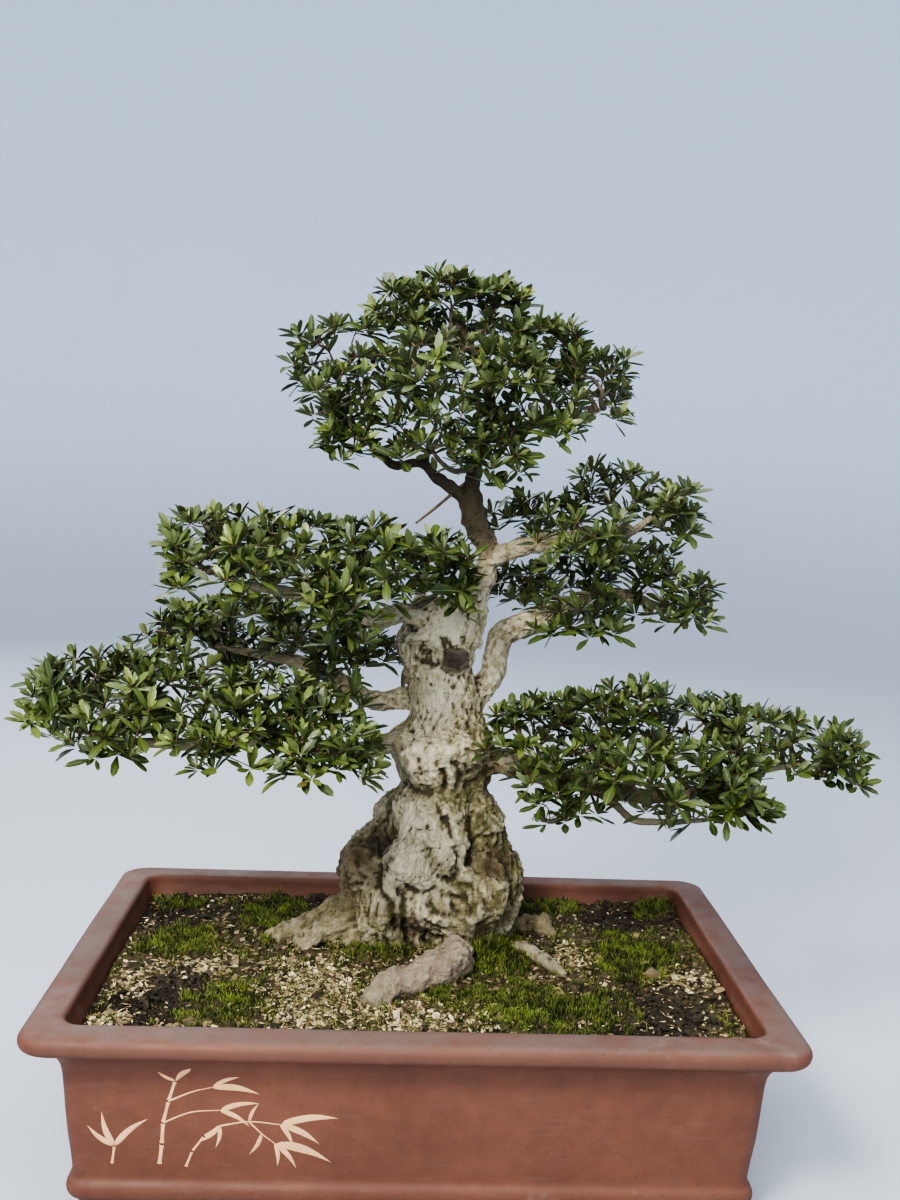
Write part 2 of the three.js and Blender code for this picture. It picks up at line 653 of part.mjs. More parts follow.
// A spray in one skin: a stem that ends in a whorl, with a side shoot out of two or three flanks.
function makeSpray({ tip, heading, thick }, random, placed) {
  const flanks = thick ? [1, 4, random() < 0.5 ? 2 : 3] : [1, 4];
  const start = tip.clone().addScaledVector(heading, CLEARANCE);
  const guide = Math.abs(heading.z) > 0.8 ? vec(0, 1, 0) : UP;
  const middle = placeShoot({ start, heading, guide, thick: STEM_RADIUS }, random, placed, []);
  if (!middle) {
    return null;
  }
  const flat = frameOf(middle.axis, guide);
  const fork = start.clone().addScaledVector(middle.axis, FORK_LENGTH);
  const points = [];
  const triangles = [];
  const stemTurn = Math.PI / 2;
  const base = addRing(points, start, frameOf(heading, guide), stemTurn, STEM_RADIUS);
  const collar = addRing(points, fork, flat, stemTurn, STEM_RADIUS - 0.2);
  const hub = addRing(points, middle.end, flat, middle.turn, HUB_RADIUS);
  triangles.push([base[2], base[1], base[0]], [base[3], base[2], base[0]], [base[4], base[3], base[0]]);
  const shift = Math.round((middle.turn - stemTurn) / (2 * Math.PI / LEAVES_A_WHORL));
  const steps = ((shift % LEAVES_A_WHORL) + LEAVES_A_WHORL) % LEAVES_A_WHORL;
  bridge(triangles, [...collar.slice(steps), ...collar.slice(0, steps)], hub);
  addWhorl(points, triangles, hub, middle, 0);
  const crown = shootTest(middle, 0.8);
  const sisters = [{ solid: crown, box: crown.boundingBox() }];
  for (let i = 0; i < LEAVES_A_WHORL; i += 1) {
    const next = (i + 1) % LEAVES_A_WHORL;
    const flank = [base[i], base[next], collar[next], collar[i]];
    const outward = flat(stemTurn + (2 * Math.PI * i) / LEAVES_A_WHORL);
    const away = middle.axis.clone().multiplyScalar(0.62).addScaledVector(outward, 0.95).normalize();
    const root = start.clone().lerp(fork, 0.5).addScaledVector(outward, STEM_RADIUS);
    const wish = { start: root, heading: away, guide, thick: 1 };
    const side = flanks.includes(i) ? placeShoot(wish, random, placed, sisters) : null;
    if (side) {
      const sideHub = addRing(points, side.end, frameOf(side.axis, guide), side.turn, HUB_RADIUS);
      bridge(triangles, nearestLoop(points, flank, sideHub), sideHub);
      addWhorl(points, triangles, sideHub, side, 0);
      const leaves = shootTest(side, 0.8);
      sisters.push({ solid: leaves, box: leaves.boundingBox() });
    } else {
      triangles.push([flank[0], flank[1], flank[2]], [flank[0], flank[2], flank[3]]);
    }
  }
  return solidFrom(points, triangles);
}

// The same loop, begun at the corner that lies nearest to the other loop's first one.
function nearestLoop(points, loop, other) {
  const distances = loop.map((k) => points[k].distanceTo(points[other[0]]));
  const first = distances.indexOf(Math.min(...distances));
  return [...loop.slice(first), ...loop.slice(0, first)];
}

const FINISHES = {
  stoneware: { color: 0x8c5348, roughness: 0.78, metalness: 0 },
  soil: { color: 0x5b5242, roughness: 0.95, metalness: 0 },
  screen: { color: 0x3a3d3f, roughness: 0.6, metalness: 0 },
  bark: { color: 0x9a8f7c, roughness: 0.88, metalness: 0 },
  leaves: { color: 0x4c6a2c, roughness: 0.45, metalness: 0 },
};

// One named piece of the bonsai in its finish.
function part(name, solid, finish) {
  const mesh = new THREE.Mesh(geometryOf(solid), new THREE.MeshStandardMaterial(FINISHES[finish]));
  mesh.name = name;
  return mesh;
}

// The whole bonsai: the pot with its soil and screens, the tree and its leafy sprays.
function makeBonsai() {
  const bonsai = new THREE.Group();
  bonsai.add(part("pot", makePot(), "stoneware"));
  bonsai.add(part("soil", makeSoil(), "soil"));
  drainCentres().forEach((centre, i) => {
    bonsai.add(part(`drain_screen_${i + 1}`, makeScreen(centre), "screen"));
  });
  const branchlets = [];
  for (const [limbName, middles] of Object.entries(SPRAYS)) {
    vectors(middles).forEach((middle, i) => {
      branchlets.push({
        name: `spray_${limbName}_${i + 1}`,
        thick: THICK_PADS.includes(limbName),
        ...branchletEnds(limbName, middle),
      });
    });
  }
  const tree = makeTree(branchlets);
  bonsai.add(part("trunk_and_branches", tree, "bark"));
  const random = seeded(SEED);
  const placed = [{ solid: tree, box: tree.boundingBox() }];
  for (const ends of branchlets) {
    const spray = makeSpray(ends, random, placed);
    if (spray) {
      bonsai.add(part(ends.name, spray, "leaves"));
      placed.push({ solid: spray, box: spray.boundingBox() });
    }
  }
  bonsai.position.x = POT_CENTRE_X;
  return bonsai;
}

export default makeBonsai();
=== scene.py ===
"""The finished look of an azalea bonsai in a rectangular stoneware pot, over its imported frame.

Every class works in millimetres from the middle of the pot, with heights above the table. A piece is turned
into metres in the frame of the row when its draft is built.
"""
import itertools
import logging
import math
from collections.abc import Callable
from dataclasses import dataclass, field
from enum import Enum
from typing import Any

import bmesh
import bpy
import numpy as np
from mathutils import Matrix, Vector
from mathutils.geometry import delaunay_2d_cdt


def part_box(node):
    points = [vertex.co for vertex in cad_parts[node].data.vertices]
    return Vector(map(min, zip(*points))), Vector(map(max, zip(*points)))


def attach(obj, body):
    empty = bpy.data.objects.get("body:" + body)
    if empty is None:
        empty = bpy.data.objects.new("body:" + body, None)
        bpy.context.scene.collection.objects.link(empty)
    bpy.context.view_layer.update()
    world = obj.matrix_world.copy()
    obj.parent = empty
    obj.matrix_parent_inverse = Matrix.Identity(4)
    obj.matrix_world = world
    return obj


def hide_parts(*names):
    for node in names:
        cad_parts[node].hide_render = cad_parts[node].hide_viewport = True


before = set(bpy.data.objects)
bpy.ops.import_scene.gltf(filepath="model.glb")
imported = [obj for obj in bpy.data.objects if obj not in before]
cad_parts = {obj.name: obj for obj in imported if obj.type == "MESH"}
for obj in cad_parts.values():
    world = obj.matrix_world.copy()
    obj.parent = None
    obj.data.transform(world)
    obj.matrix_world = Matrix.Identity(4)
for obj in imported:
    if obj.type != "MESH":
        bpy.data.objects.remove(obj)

LOG = logging.getLogger("bonsai")
MM = 0.001
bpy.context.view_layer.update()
POT_MIDDLE = np.array((sum(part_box("pot"), Vector()) / 2)[:2] + (0.0,)) / MM
Array = np.ndarray
Material = bpy.types.Material
Mesh = bpy.types.Mesh
Object = bpy.types.Object
Socket = bpy.types.NodeSocket
Tree = bpy.types.NodeTree
Triple = tuple[float, float, float]
Colour = Triple
Wire = Callable[["Sheet", dict[str, Socket]], dict[str, Socket]]


def smoothstep(low: float, high: float, value: Array) -> Array:
    """Goes smoothly from 0 at low to 1 at high."""
    share = np.clip((value - low) / (high - low), 0.0, 1.0)
    return share * share * (3.0 - 2.0 * share)


def unit(vectors: Array) -> Array:
    """The same directions with length 1."""
    return vectors / np.maximum(np.linalg.norm(vectors, axis=-1, keepdims=True), 1e-9)


def raised(flat: Array, height: Any = 0.0) -> Array:
    """Points in space from places given as x and y, and one height or one for each."""
    return np.column_stack([flat, np.broadcast_to(height, len(flat))])


def copies(triangles: Array, size: int, count: int) -> Array:
    """The triangles of many copies of a shape that has size corners."""
    return (triangles + size * np.arange(count)[:, None, None]).reshape(-1, 3)


def smooth_route(points: list, spacing: float) -> Array:
    """Lays even points along a smooth curve.

    Args:
        points: The points that the curve passes through.
        spacing: The distance between the new points.

    Returns:
        The new points, from the first of the given ones to the last.
    """
    given = np.array(points, float)
    padded = np.vstack([2 * given[0] - given[1], given, 2 * given[-1] - given[-2]])
    share = np.linspace(0, 1, 16, endpoint=False)[:, None]
    pieces = []
    for p0, p1, p2, p3 in zip(padded, padded[1:], padded[2:], padded[3:]):
        d0, d1, d2 = (max(math.dist(a, b), 1e-4) ** 0.5 for a, b in ((p0, p1), (p1, p2), (p2, p3)))
        leave = ((p1 - p0) / d0 - (p2 - p0) / (d0 + d1) + (p2 - p1) / d1) * d1
        arrive = ((p2 - p1) / d1 - (p3 - p1) / (d1 + d2) + (p3 - p2) / d2) * d1
        square = -3 * p1 + 3 * p2 - 2 * leave - arrive
        cube = 2 * p1 - 2 * p2 + leave + arrive
        pieces.append(p1 + leave * share + square * share**2 + cube * share**3)
    dense = np.vstack([*pieces, given[-1:]])
    lengths = np.concatenate([[0.0], np.cumsum(np.linalg.norm(np.diff(dense, axis=0), axis=1))])
    at = np.linspace(0, lengths[-1], max(3, round(lengths[-1] / spacing) + 1))
    return np.column_stack([np.interp(at, lengths, column) for column in dense.T])


def spread_radii(radii: list[float], count: int) -> Array:
    """Radii for count places, evenly between the given ones."""
    return np.interp(np.linspace(0, len(radii) - 1, count), range(len(radii)), radii)


def tube(route: Array, radii: Array, sides: int) -> tuple[Array, Array]:
    """Makes a closed round skin along a route.

    Args:
        route: The middle of each ring.
        radii: The radius of each ring.
        sides: The corners of each ring.

    Returns:
        The corners, ring by ring with the two ends' middles last, and the triangles.
    """
    headings = unit(np.gradient(route, axis=0))
    guide = np.eye(3)[np.argmin(np.abs(headings[0]))]
    angles = 2 * np.pi * np.arange(sides) / sides
    rings = []
    for centre, heading, radius in zip(route, headings, radii):
        guide = unit(guide - heading * guide.dot(heading))
        up = np.cross(heading, guide)
        rings.append(centre + radius * (np.outer(np.cos(angles), guide) + np.outer(np.sin(angles), up)))
    return np.vstack([*rings, route[:1], route[-1:]]), skin(len(route), sides)


def skin(rings: int, sides: int) -> Array:
    """The triangles of a stack of rings whose two middles come after them.

    Args:
        rings: How many rings there are, each anticlockwise as seen from the last.
        sides: The corners of each ring.

    Returns:
        The triangles, facing out: the bands, then the first end, then the last.
    """
    here = np.arange(sides)
    ahead = (here + 1) % sides
    low = (sides * np.arange(rings - 1))[:, None, None]
    band = np.vstack([np.column_stack([here, ahead, sides + ahead]),
                      np.column_stack([here, sides + ahead, sides + here])])
    last = sides * (rings - 1)
    bottom = np.column_stack([ahead, here, np.full(sides, last + sides)])
    top = np.column_stack([last + here, last + ahead, np.full(sides, last + sides + 1)])
    return np.vstack([(low + band).reshape(-1, 3), bottom, top])


def relax(points: Array, ends: Array, rounds: int, strength: float) -> Array:
    """Moves each point towards the middle of its neighbours.

    Args:
        points: The points.
        ends: The two points of each edge.
        rounds: How often it is done.
        strength: How far each point moves; a number below 0 moves it away.

    Returns:
        The moved points.
    """
    one, other = ends.ravel(), ends[:, ::-1].ravel()
    degree = np.maximum(np.bincount(one, minlength=len(points)), 1)
    for _ in range(rounds):
        total = [np.bincount(one, weights=points[other, k], minlength=len(points)) for k in range(3)]
        points = points + strength * (np.column_stack(total) / degree[:, None] - points)
    return points


class Noise:
    """Seeded smooth noise and scattered cells over points in space."""

    def __init__(self, seed: int) -> None:
        """Draws the noise's tables.

        Args:
            seed: The seed of the draws.
        """
        random = np.random.default_rng(seed)
        self.order = np.tile(random.permutation(256), 2)
        self.slopes = unit(random.normal(size=(256, 3)))
        self.spots = random.random((256, 3))

    def lattice(self, cells: Array) -> Array:
        """A fixed random number from 0 to 255 for each cell."""
        x, y, z = (cells & 255).T
        return self.order[self.order[self.order[x] + y] + z]

    def smooth(self, points: Array) -> Array:
        """Smooth noise.

        Args:
            points: Where it is wanted, scaled so that its features are one unit across.

        Returns:
            A number of about -1 to 1 for each point.
        """
        cells = np.floor(points).astype(int)
        local = points - cells
        ease = local**3 * (local * (local * 6 - 15) + 10)
        total = np.zeros(len(points))
        for corner in itertools.product((0, 1), repeat=3):
            step = np.array(corner)
            slopes = self.slopes[self.lattice(cells + step)]
            weights = np.prod(np.where(step == 1, ease, 1 - ease), axis=1)
            total += weights * np.einsum("ij,ij->i", slopes, local - step)
        return 1.5 * total

    def layered(self, points: Array, layers: int = 4, gain: float = 0.5) -> Array:
        """Smooth noise with finer and fainter layers on top."""
        return sum(gain**k * self.smooth(points * 2**k + 17.3 * k) for k in range(layers))

    def spot_gap(self, points: Array) -> Array:
        """The distance to the nearest of the spots that are scattered one to each unit of space.

        Args:
            points: Where it is wanted.

        Returns:
            The distance at each point.
        """
        home = np.floor(points).astype(int)
        nearest = np.full(len(points), 9.0)
        for offset in itertools.product((-1, 0, 1), repeat=3):
            cell = home + np.array(offset)
            gap = np.linalg.norm(points - cell - self.spots[self.lattice(cell)], axis=1)
            nearest = np.minimum(nearest, gap)
        return nearest


@dataclass
class Draft:
    """The corners, triangles and surface values of a piece while it is being made."""

    values: tuple[str, ...] = ()
    face_values: tuple[str, ...] = ()
    corners: list[Array] = field(default_factory=list)
    triangles: list[Array] = field(default_factory=list)
    finishes: list[Array] = field(default_factory=list)
    sharp: list[Array] = field(default_factory=list)
    kept: dict[str, list[Array]] = field(default_factory=dict)
    count: int = 0

    def add(self, corners: Array, triangles: Array, finish: int = 0, sharp: Any = False,
            **values: Any) -> None:
        """Adds some surface.

        Args:
            corners: Its corners in millimetres.
            triangles: Its triangles, as numbers of those corners.
            finish: Which of the piece's finishes it has.
            sharp: Which corners lie on a crisp edge; an edge between two of them is crisp.
            values: A number, or one for each corner or triangle, for any of the draft's values.
        """
        self.corners.append(np.asarray(corners, float))
        self.triangles.append(np.asarray(triangles, int) + self.count)
        self.finishes.append(np.full(len(triangles), finish))
        self.sharp.append(np.broadcast_to(sharp, len(corners)))
        for names, size in ((self.values, len(corners)), (self.face_values, len(triangles))):
            for name in names:
                self.kept.setdefault(name, []).append(np.broadcast_to(values.get(name, 0.0), size))
        self.count += len(corners)

    def mesh(self, name: str, smooth: bool = True) -> Mesh:
        """Makes the mesh in metres, in the frame of the row.

        Args:
            name: The mesh's name.
            smooth: Whether its faces are shaded as one smooth surface.

        Returns:
            The mesh.
        """
        mesh = bpy.data.meshes.new(name)
        triangles = np.vstack(self.triangles)
        mesh.vertices.add(self.count)
        mesh.vertices.foreach_set("co", ((np.vstack(self.corners) + POT_MIDDLE) * MM).ravel())
        mesh.loops.add(triangles.size)
        mesh.loops.foreach_set("vertex_index", triangles.ravel())
        mesh.polygons.add(len(triangles))
        mesh.polygons.foreach_set("loop_start", np.arange(0, triangles.size, 3))
        mesh.polygons.foreach_set("material_index", np.concatenate(self.finishes))
        mesh.polygons.foreach_set("use_smooth", np.full(len(triangles), smooth))
        mesh.update(calc_edges=True)
        for names, domain in ((self.values, "POINT"), (self.face_values, "FACE")):
            for value in names:
                layer = mesh.attributes.new(value, "FLOAT", domain)
                layer.data.foreach_set("value", np.concatenate(self.kept[value]).astype(np.float32))
        crisp = np.concatenate(self.sharp)
        if crisp.any():
            layer = mesh.attributes.new("sharp_edge", "BOOLEAN", "EDGE")
            layer.data.foreach_set("value", crisp[edge_ends(mesh)].all(axis=1))
        return mesh

    def build(self, name: str, *materials: Material, smooth: bool = True) -> Object:
        """Makes the finished object and puts it in the scene."""
        return show(self.mesh(name, smooth), name, *materials)


def edge_ends(mesh: Mesh) -> Array:
    """The numbers of the two corners of each edge.

    Args:
        mesh: The mesh.

    Returns:
        One row for each edge.
    """
    ends = np.empty(2 * len(mesh.edges), int)
    mesh.edges.foreach_get("vertices", ends)
    return ends.reshape(-1, 2)


def show(mesh: Mesh, name: str, *materials: Material) -> Object:
    """Puts a mesh in the scene.

    Args:
        mesh: The mesh.
        name: The new object's name.
        materials: Its materials.

    Returns:
        The object.
    """
    piece = bpy.data.objects.new(name, mesh)
    for material in materials:
        mesh.materials.append(material)
    bpy.context.scene.collection.objects.link(piece)
    return piece


def weld(piece: Object, gap_mm: float = 0.02) -> Object:
    """Joins the corners of a piece that lie on each other.

    Args:
        piece: The piece.
        gap_mm: How far apart they may lie.

    Returns:
        The piece.
    """
    sheet = bmesh.new()
    sheet.from_mesh(piece.data)
    bmesh.ops.remove_doubles(sheet, verts=sheet.verts, dist=gap_mm * MM)
    sheet.to_mesh(piece.data)
    sheet.free()
    return piece


def settle(piece: Object, slot: str, *nodes: str) -> None:
    """Makes a piece part of the bonsai.

    Args:
        piece: The finished object.
        slot: The material slot of the record that its finish belongs to; it is not used.
        nodes: The nodes of the frame that it stands for.
    """
    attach(piece, "root")
    if nodes:
        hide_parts(*nodes)
    LOG.info("%s: %d triangles", piece.name, sum(len(p.vertices) - 2 for p in piece.data.polygons))


class Sheet:
    """A sheet of shader nodes, with short calls that add a node and join it to others."""

    def __init__(self, tree: Tree) -> None:
        """Takes the node tree that the nodes go into."""
        self.tree = tree

    def add(self, kind: str, inputs: dict[str | int, Any] | None = None, **settings: Any) -> bpy.types.Node:
        """Adds a node.

        Args:
            kind: The node's type, without its ShaderNode prefix.
            inputs: A value or another node's output for each named or numbered input.
            settings: The node's own settings.

        Returns:
            The node.
        """
        node = self.tree.nodes.new("ShaderNode" + kind)
        for name, value in settings.items():
            setattr(node, name, value)
        for name, value in (inputs or {}).items():
            self.feed(node.inputs[name], value)
        return node

    def feed(self, entry: Socket, value: Any) -> None:
        """Joins an input to an output, or sets its value.

        Args:
            entry: The input.
            value: Another node's output, a colour or a number.
        """
        if isinstance(value, Socket):
            self.tree.links.new(value, entry)
        else:
            entry.default_value = (*value, 1.0) if entry.type == "RGBA" else value

    def math(self, operation: str, a: Any, b: Any = 0.0, clamp: bool = False) -> Socket:
        """The result of an operation on two numbers."""
        return self.add("Math", {0: a, 1: b}, operation=operation, use_clamp=clamp).outputs[0]

    def times(self, a: Any, b: Any, clamp: bool = False) -> Socket:
        """The product of two numbers."""
        return self.math("MULTIPLY", a, b, clamp)

    def plus(self, a: Any, b: Any, clamp: bool = False) -> Socket:
        """The sum of two numbers."""
        return self.math("ADD", a, b, clamp)

    def span(self, value: Any, low: float, high: float, start: float = 0.0, end: float = 1.0) -> Socket:
        """Takes a number from the range low to high to the range start to end, and no further."""
        inputs = {"Value": value, "From Min": low, "From Max": high, "To Min": start, "To Max": end}
        return self.add("MapRange", inputs, interpolation_type="SMOOTHSTEP").outputs["Result"]

    def mix(self, share: Any, a: Any, b: Any, blend: str = "MIX") -> Socket:
        """Mixes two colours.

        Args:
            share: How much of the second colour there is.
            a: The first colour.
            b: The second colour.
            blend: The way in which they are mixed.

        Returns:
            The mixed colour.
        """
        node = self.add("Mix", data_type="RGBA", blend_type=blend)
        for entry, value in zip((node.inputs[0], node.inputs[6], node.inputs[7]), (share, a, b)):
            self.feed(entry, value)
        return node.outputs[2]

    def noise(self, place: Socket, scale: Any, detail: float = 4.0, rough: float = 0.55) -> Socket:
        """Smooth noise from 0 to 1."""
        inputs = {"Vector": place, "Scale": scale, "Detail": detail, "Roughness": rough}
        return self.add("TexNoise", inputs).outputs[0]

    def value(self, name: str) -> Socket:
        """One of the surface values that the mesh carries."""
        return self.add("Attribute", attribute_name=name).outputs["Fac"]

    def place(self, stretch: Triple = (1.0, 1.0, 1.0)) -> Socket:
        """The place on the object in metres, stretched along the axes."""
        raw = self.add("TexCoord").outputs["Object"]
        return self.add("Mapping", {"Vector": raw, "Scale": stretch}).outputs[0]

    def upward(self, vector: Socket) -> Socket:
        """The vertical part of a vector."""
        return self.add("SeparateXYZ", {0: vector}).outputs["Z"]

    def effect(self, effect: Tree, **inputs: Any) -> dict[str, Socket]:
        """Places one of the shared effects.

        Args:
            effect: The effect's node group.
            inputs: A value or another node's output for each input, with _ for a space.

        Returns:
            Its outputs by name.
        """
        node = self.tree.nodes.new("ShaderNodeGroup")
        node.node_tree = effect
        for name, value in inputs.items():
            self.feed(node.inputs[name.replace("_", " ").capitalize()], value)
        return {output.name: output for output in node.outputs}


class Effects:
    """The effects that several finishes share, each built once as a node group."""

    def __init__(self) -> None:
        """Builds the groups with the first values of their inputs; a place has none."""
        mottle = {"Place": None, "Scale": 20.0, "Light": (1, 1, 1), "Dark": (0, 0, 0), "Contrast": 1.0}
        grain = {"Place": None, "Scale": 400.0, "Speck scale": 300.0, "Speck size": 0.2}
        # The hollows effect paints shade into hollows and a highlight onto bumps.
        hollows = {"Colour": (1, 1, 1), "Deep": (0, 0, 0), "Worn": (1, 1, 1), "Level": 0.5, "Strength": 1.0}
        self.mottle = self.group("Mottle", mottle, self.wire_mottle)
        self.grain = self.group("Grain", grain, self.wire_grain)
        self.dust = self.group("Dust", {"Place": None, "Scale": 30.0, "Amount": 0.5}, self.wire_dust)
        self.hollows = self.group("Hollows", hollows, self.wire_hollows)

    @staticmethod
    def group(name: str, inputs: dict[str, Any], wire: Wire) -> Tree:
        """Builds one effect.

        Args:
            name: The group's name.
            inputs: The first value of each input: a number, a colour or None for a place.
            wire: Adds the nodes between the inputs and the outputs that it gives.

        Returns:
            The group.
        """
        group = bpy.data.node_groups.new(name, "ShaderNodeTree")
        for entry, value in inputs.items():
            kind = "Vector" if value is None else "Color" if isinstance(value, tuple) else "Float"
            socket = group.interface.new_socket(entry, in_out="INPUT", socket_type="NodeSocket" + kind)
            if value is not None:
                socket.default_value = (*value, 1.0) if kind == "Color" else value
        sheet = Sheet(group)
        outputs = wire(sheet, {socket.name: socket for socket in group.nodes.new("NodeGroupInput").outputs})
        for entry, value in outputs.items():
            kind = "Color" if value.type == "RGBA" else "Float"
            group.interface.new_socket(entry, in_out="OUTPUT", socket_type="NodeSocket" + kind)
        result = group.nodes.new("NodeGroupOutput")
        for entry, value in outputs.items():
            sheet.feed(result.inputs[entry], value)
        return group

    @staticmethod
    def wire_mottle(sheet: Sheet, given: dict[str, Socket]) -> dict[str, Socket]:
        """Broad and fine patches of two colours, as in fired clay, bark or soil.

        Args:
            sheet: The group's sheet.
            given: Its inputs by name.

        Returns:
            The colour.
        """
        broad = sheet.noise(given["Place"], given["Scale"], 5.0, 0.6)
        fine = sheet.noise(given["Place"], sheet.times(given["Scale"], 7.3), 3.0, 0.6)
        both = sheet.plus(sheet.times(broad, 0.65), sheet.times(fine, 0.35))
        swing = sheet.times(sheet.math("SUBTRACT", both, 0.5), given["Contrast"])
        share = sheet.plus(sheet.times(swing, 2.6), 0.5, clamp=True)
        return {"Colour": sheet.mix(share, given["Dark"], given["Light"])}

    @staticmethod
    def wire_grain(sheet: Sheet, given: dict[str, Socket]) -> dict[str, Socket]:
        """Fine grain with scattered specks.

        Args:
            sheet: The group's sheet.
            given: Its inputs by name.

        Returns:
            The height, and a mask of the specks.
        """
        cells = sheet.add("TexVoronoi", {"Vector": given["Place"], "Scale": given["Speck scale"]})
        gap = sheet.math("DIVIDE", cells.outputs["Distance"], given["Speck size"])
        height = sheet.noise(given["Place"], given["Scale"], 5.0, 0.65)
        return {"Height": height, "Specks": sheet.span(gap, 0.6, 1.0, 1.0, 0.0)}

    @staticmethod
    def wire_dust(sheet: Sheet, given: dict[str, Socket]) -> dict[str, Socket]:
        """What settles on faces that look up, in uneven patches.

        Args:
            sheet: The group's sheet.
            given: Its inputs by name.

        Returns:
            The mask.
        """
        facing = sheet.upward(sheet.add("NewGeometry").outputs["Normal"])
        patches = sheet.span(sheet.noise(given["Place"], given["Scale"], 6.0, 0.65), 0.22, 0.62)
        level = sheet.times(sheet.span(facing, 0.5, 1.0), patches)
        return {"Mask": sheet.times(level, given["Amount"], clamp=True)}

    @staticmethod
    def wire_hollows(sheet: Sheet, given: dict[str, Socket]) -> dict[str, Socket]:
        """Paints shade into a colour in hollows and a highlight onto it on bumps, where 0.5 is level ground.

        Args:
            sheet: The group's sheet.
            given: Its inputs by name.

        Returns:
            The colour.
        """
        low = sheet.times(sheet.span(given["Level"], 0.1, 0.5, 1.0, 0.0), given["Strength"], clamp=True)
        high = sheet.times(sheet.span(given["Level"], 0.55, 0.95), given["Strength"], clamp=True)
        return {"Colour": sheet.mix(high, sheet.mix(low, given["Colour"], given["Deep"]), given["Worn"])}


class Coat(Sheet):
    """The sheet of one finish, on which its colour is built up in layers."""

    def __init__(self, tree: Tree, effects: Effects) -> None:
        """Starts the coat.

        Args:
            tree: The material's node tree.
            effects: The shared effects.
        """
        super().__init__(tree)
        self.effects = effects
        self.spot = self.place()
        self.colour: Any = (0.0, 0.0, 0.0)

    def mottled(self, scale: float, light: Colour, dark: Colour, contrast: float) -> Socket:
        """Patches of two colours."""
        tones = {"light": light, "dark": dark, "contrast": contrast}
        return self.effect(self.effects.mottle, place=self.spot, scale=scale, **tones)["Colour"]

    def grain(self, scale: float, speck_scale: float, speck_size: float) -> list[Socket]:
        """Fine grain as a height, and specks as a mask."""
        specks = {"speck_scale": speck_scale, "speck_size": speck_size}
        return list(self.effect(self.effects.grain, place=self.spot, scale=scale, **specks).values())

    def lay(self, share: Any, colour: Any, strength: float = 1.0) -> None:
        """Lays a colour over the coat by a share, or by less than that."""
        self.colour = self.mix(share if strength == 1.0 else self.times(share, strength), self.colour, colour)

    def sink(self, level: Socket, deep: Colour, worn: Colour, strength: float) -> None:
        """Paints shade into the coat in hollows and a highlight on bumps."""
        tones = {"deep": deep, "worn": worn, "level": level, "strength": strength}
        self.colour = self.effect(self.effects.hollows, colour=self.colour, **tones)["Colour"]


@dataclass(frozen=True)
class Finish:
    """A finish of two mottled tones with grain and specks; its colours are linear."""

    name: str
    light: Colour
    dark: Colour
    roughness: float = 0.85
    specular: float = 0.3
    bump: float = 0.3
    relief_mm: float = 0.3
    glow: float = 0.0
    patches: float = 90.0
    contrast: float = 1.2
    grain: tuple[float, float, float] = (900.0, 500.0, 0.2)
    speck: Colour = (0.3, 0.16, 0.1)
    speck_share: float = 0.0

    def paint(self, coat: Coat) -> dict[str, Socket]:
        """Lays the finish's layers over its base.

        Args:
            coat: The coat that takes them.

        Returns:
            What feeds Height and any entry of the shader but Base Color.
        """
        return {"Height": self.specked(coat)}

    def base(self, coat: Coat) -> Socket:
        """The mottled tones that the layers lie on."""
        return coat.mottled(self.patches, self.light, self.dark, self.contrast)

    def specked(self, coat: Coat) -> Socket:
        """Lays the specks.

        Args:
            coat: The coat that takes them.

        Returns:
            The height of the grain.
        """
        height, specks = coat.grain(*self.grain)
        coat.lay(specks, self.speck, self.speck_share)
        return height

    def material(self, effects: Effects) -> Material:
        """Makes the finish's material.

        Args:
            effects: The shared effects.

        Returns:
            The material, with one Principled shader.
        """
        material = bpy.data.materials.new(self.name)
        material.use_nodes = True
        material.node_tree.nodes.clear()
        coat = Coat(material.node_tree, effects)
        shader = coat.add("BsdfPrincipled", {
            "Roughness": self.roughness, "Specular IOR Level": self.specular, "Emission Strength": self.glow})
        coat.colour = self.base(coat)
        outputs = self.paint(coat)
        if "Height" in outputs:
            relief = {"Height": outputs.pop("Height"), "Strength": self.bump, "Distance": self.relief_mm * MM}
            outputs["Normal"] = coat.add("Bump", relief).outputs[0]
        for entry, value in {"Base Color": coat.colour, **outputs}.items():
            coat.feed(shader.inputs[entry], value)
        coat.add("OutputMaterial", {"Surface": shader.outputs[0]})
        return material


@dataclass(frozen=True)
class ClayFinish(Finish):
    """Unglazed stoneware, greyer where dust and lime have dried on it."""

    dusty: Colour = (0.152, 0.106, 0.092)
    rubbed: Colour = (0.11, 0.066, 0.054)
    lime: Colour = (0.36, 0.29, 0.25)

    def paint(self, coat: Coat) -> dict[str, Socket]:
        """Mottled clay with wiped streaks, dust on its upper faces, pale lime and dark iron specks.

        Args:
            coat: The coat that takes the colour.

        Returns:
            What feeds Roughness and Height.
        """
        streaks = coat.noise(coat.place((1.0, 1.0, 9.0)), 26.0, 5.0, 0.6)
        coat.lay(coat.span(streaks, 0.5, 0.72, 0.0, 0.2), self.dusty)
        coat.lay(coat.effect(coat.effects.dust, place=coat.spot, scale=24.0, amount=0.85)["Mask"], self.dusty)
        coat.lay(coat.span(coat.value("edge"), 0.2, 1.0, 0.0, 0.3), self.rubbed)
        coat.lay(coat.span(coat.noise(coat.spot, 15.0, 8.0, 0.72), 0.6, 0.72, 0.0, 0.2), self.lime)
        return {"Roughness": coat.span(streaks, 0.3, 0.7, 0.52, 0.7), "Height": self.specked(coat)}


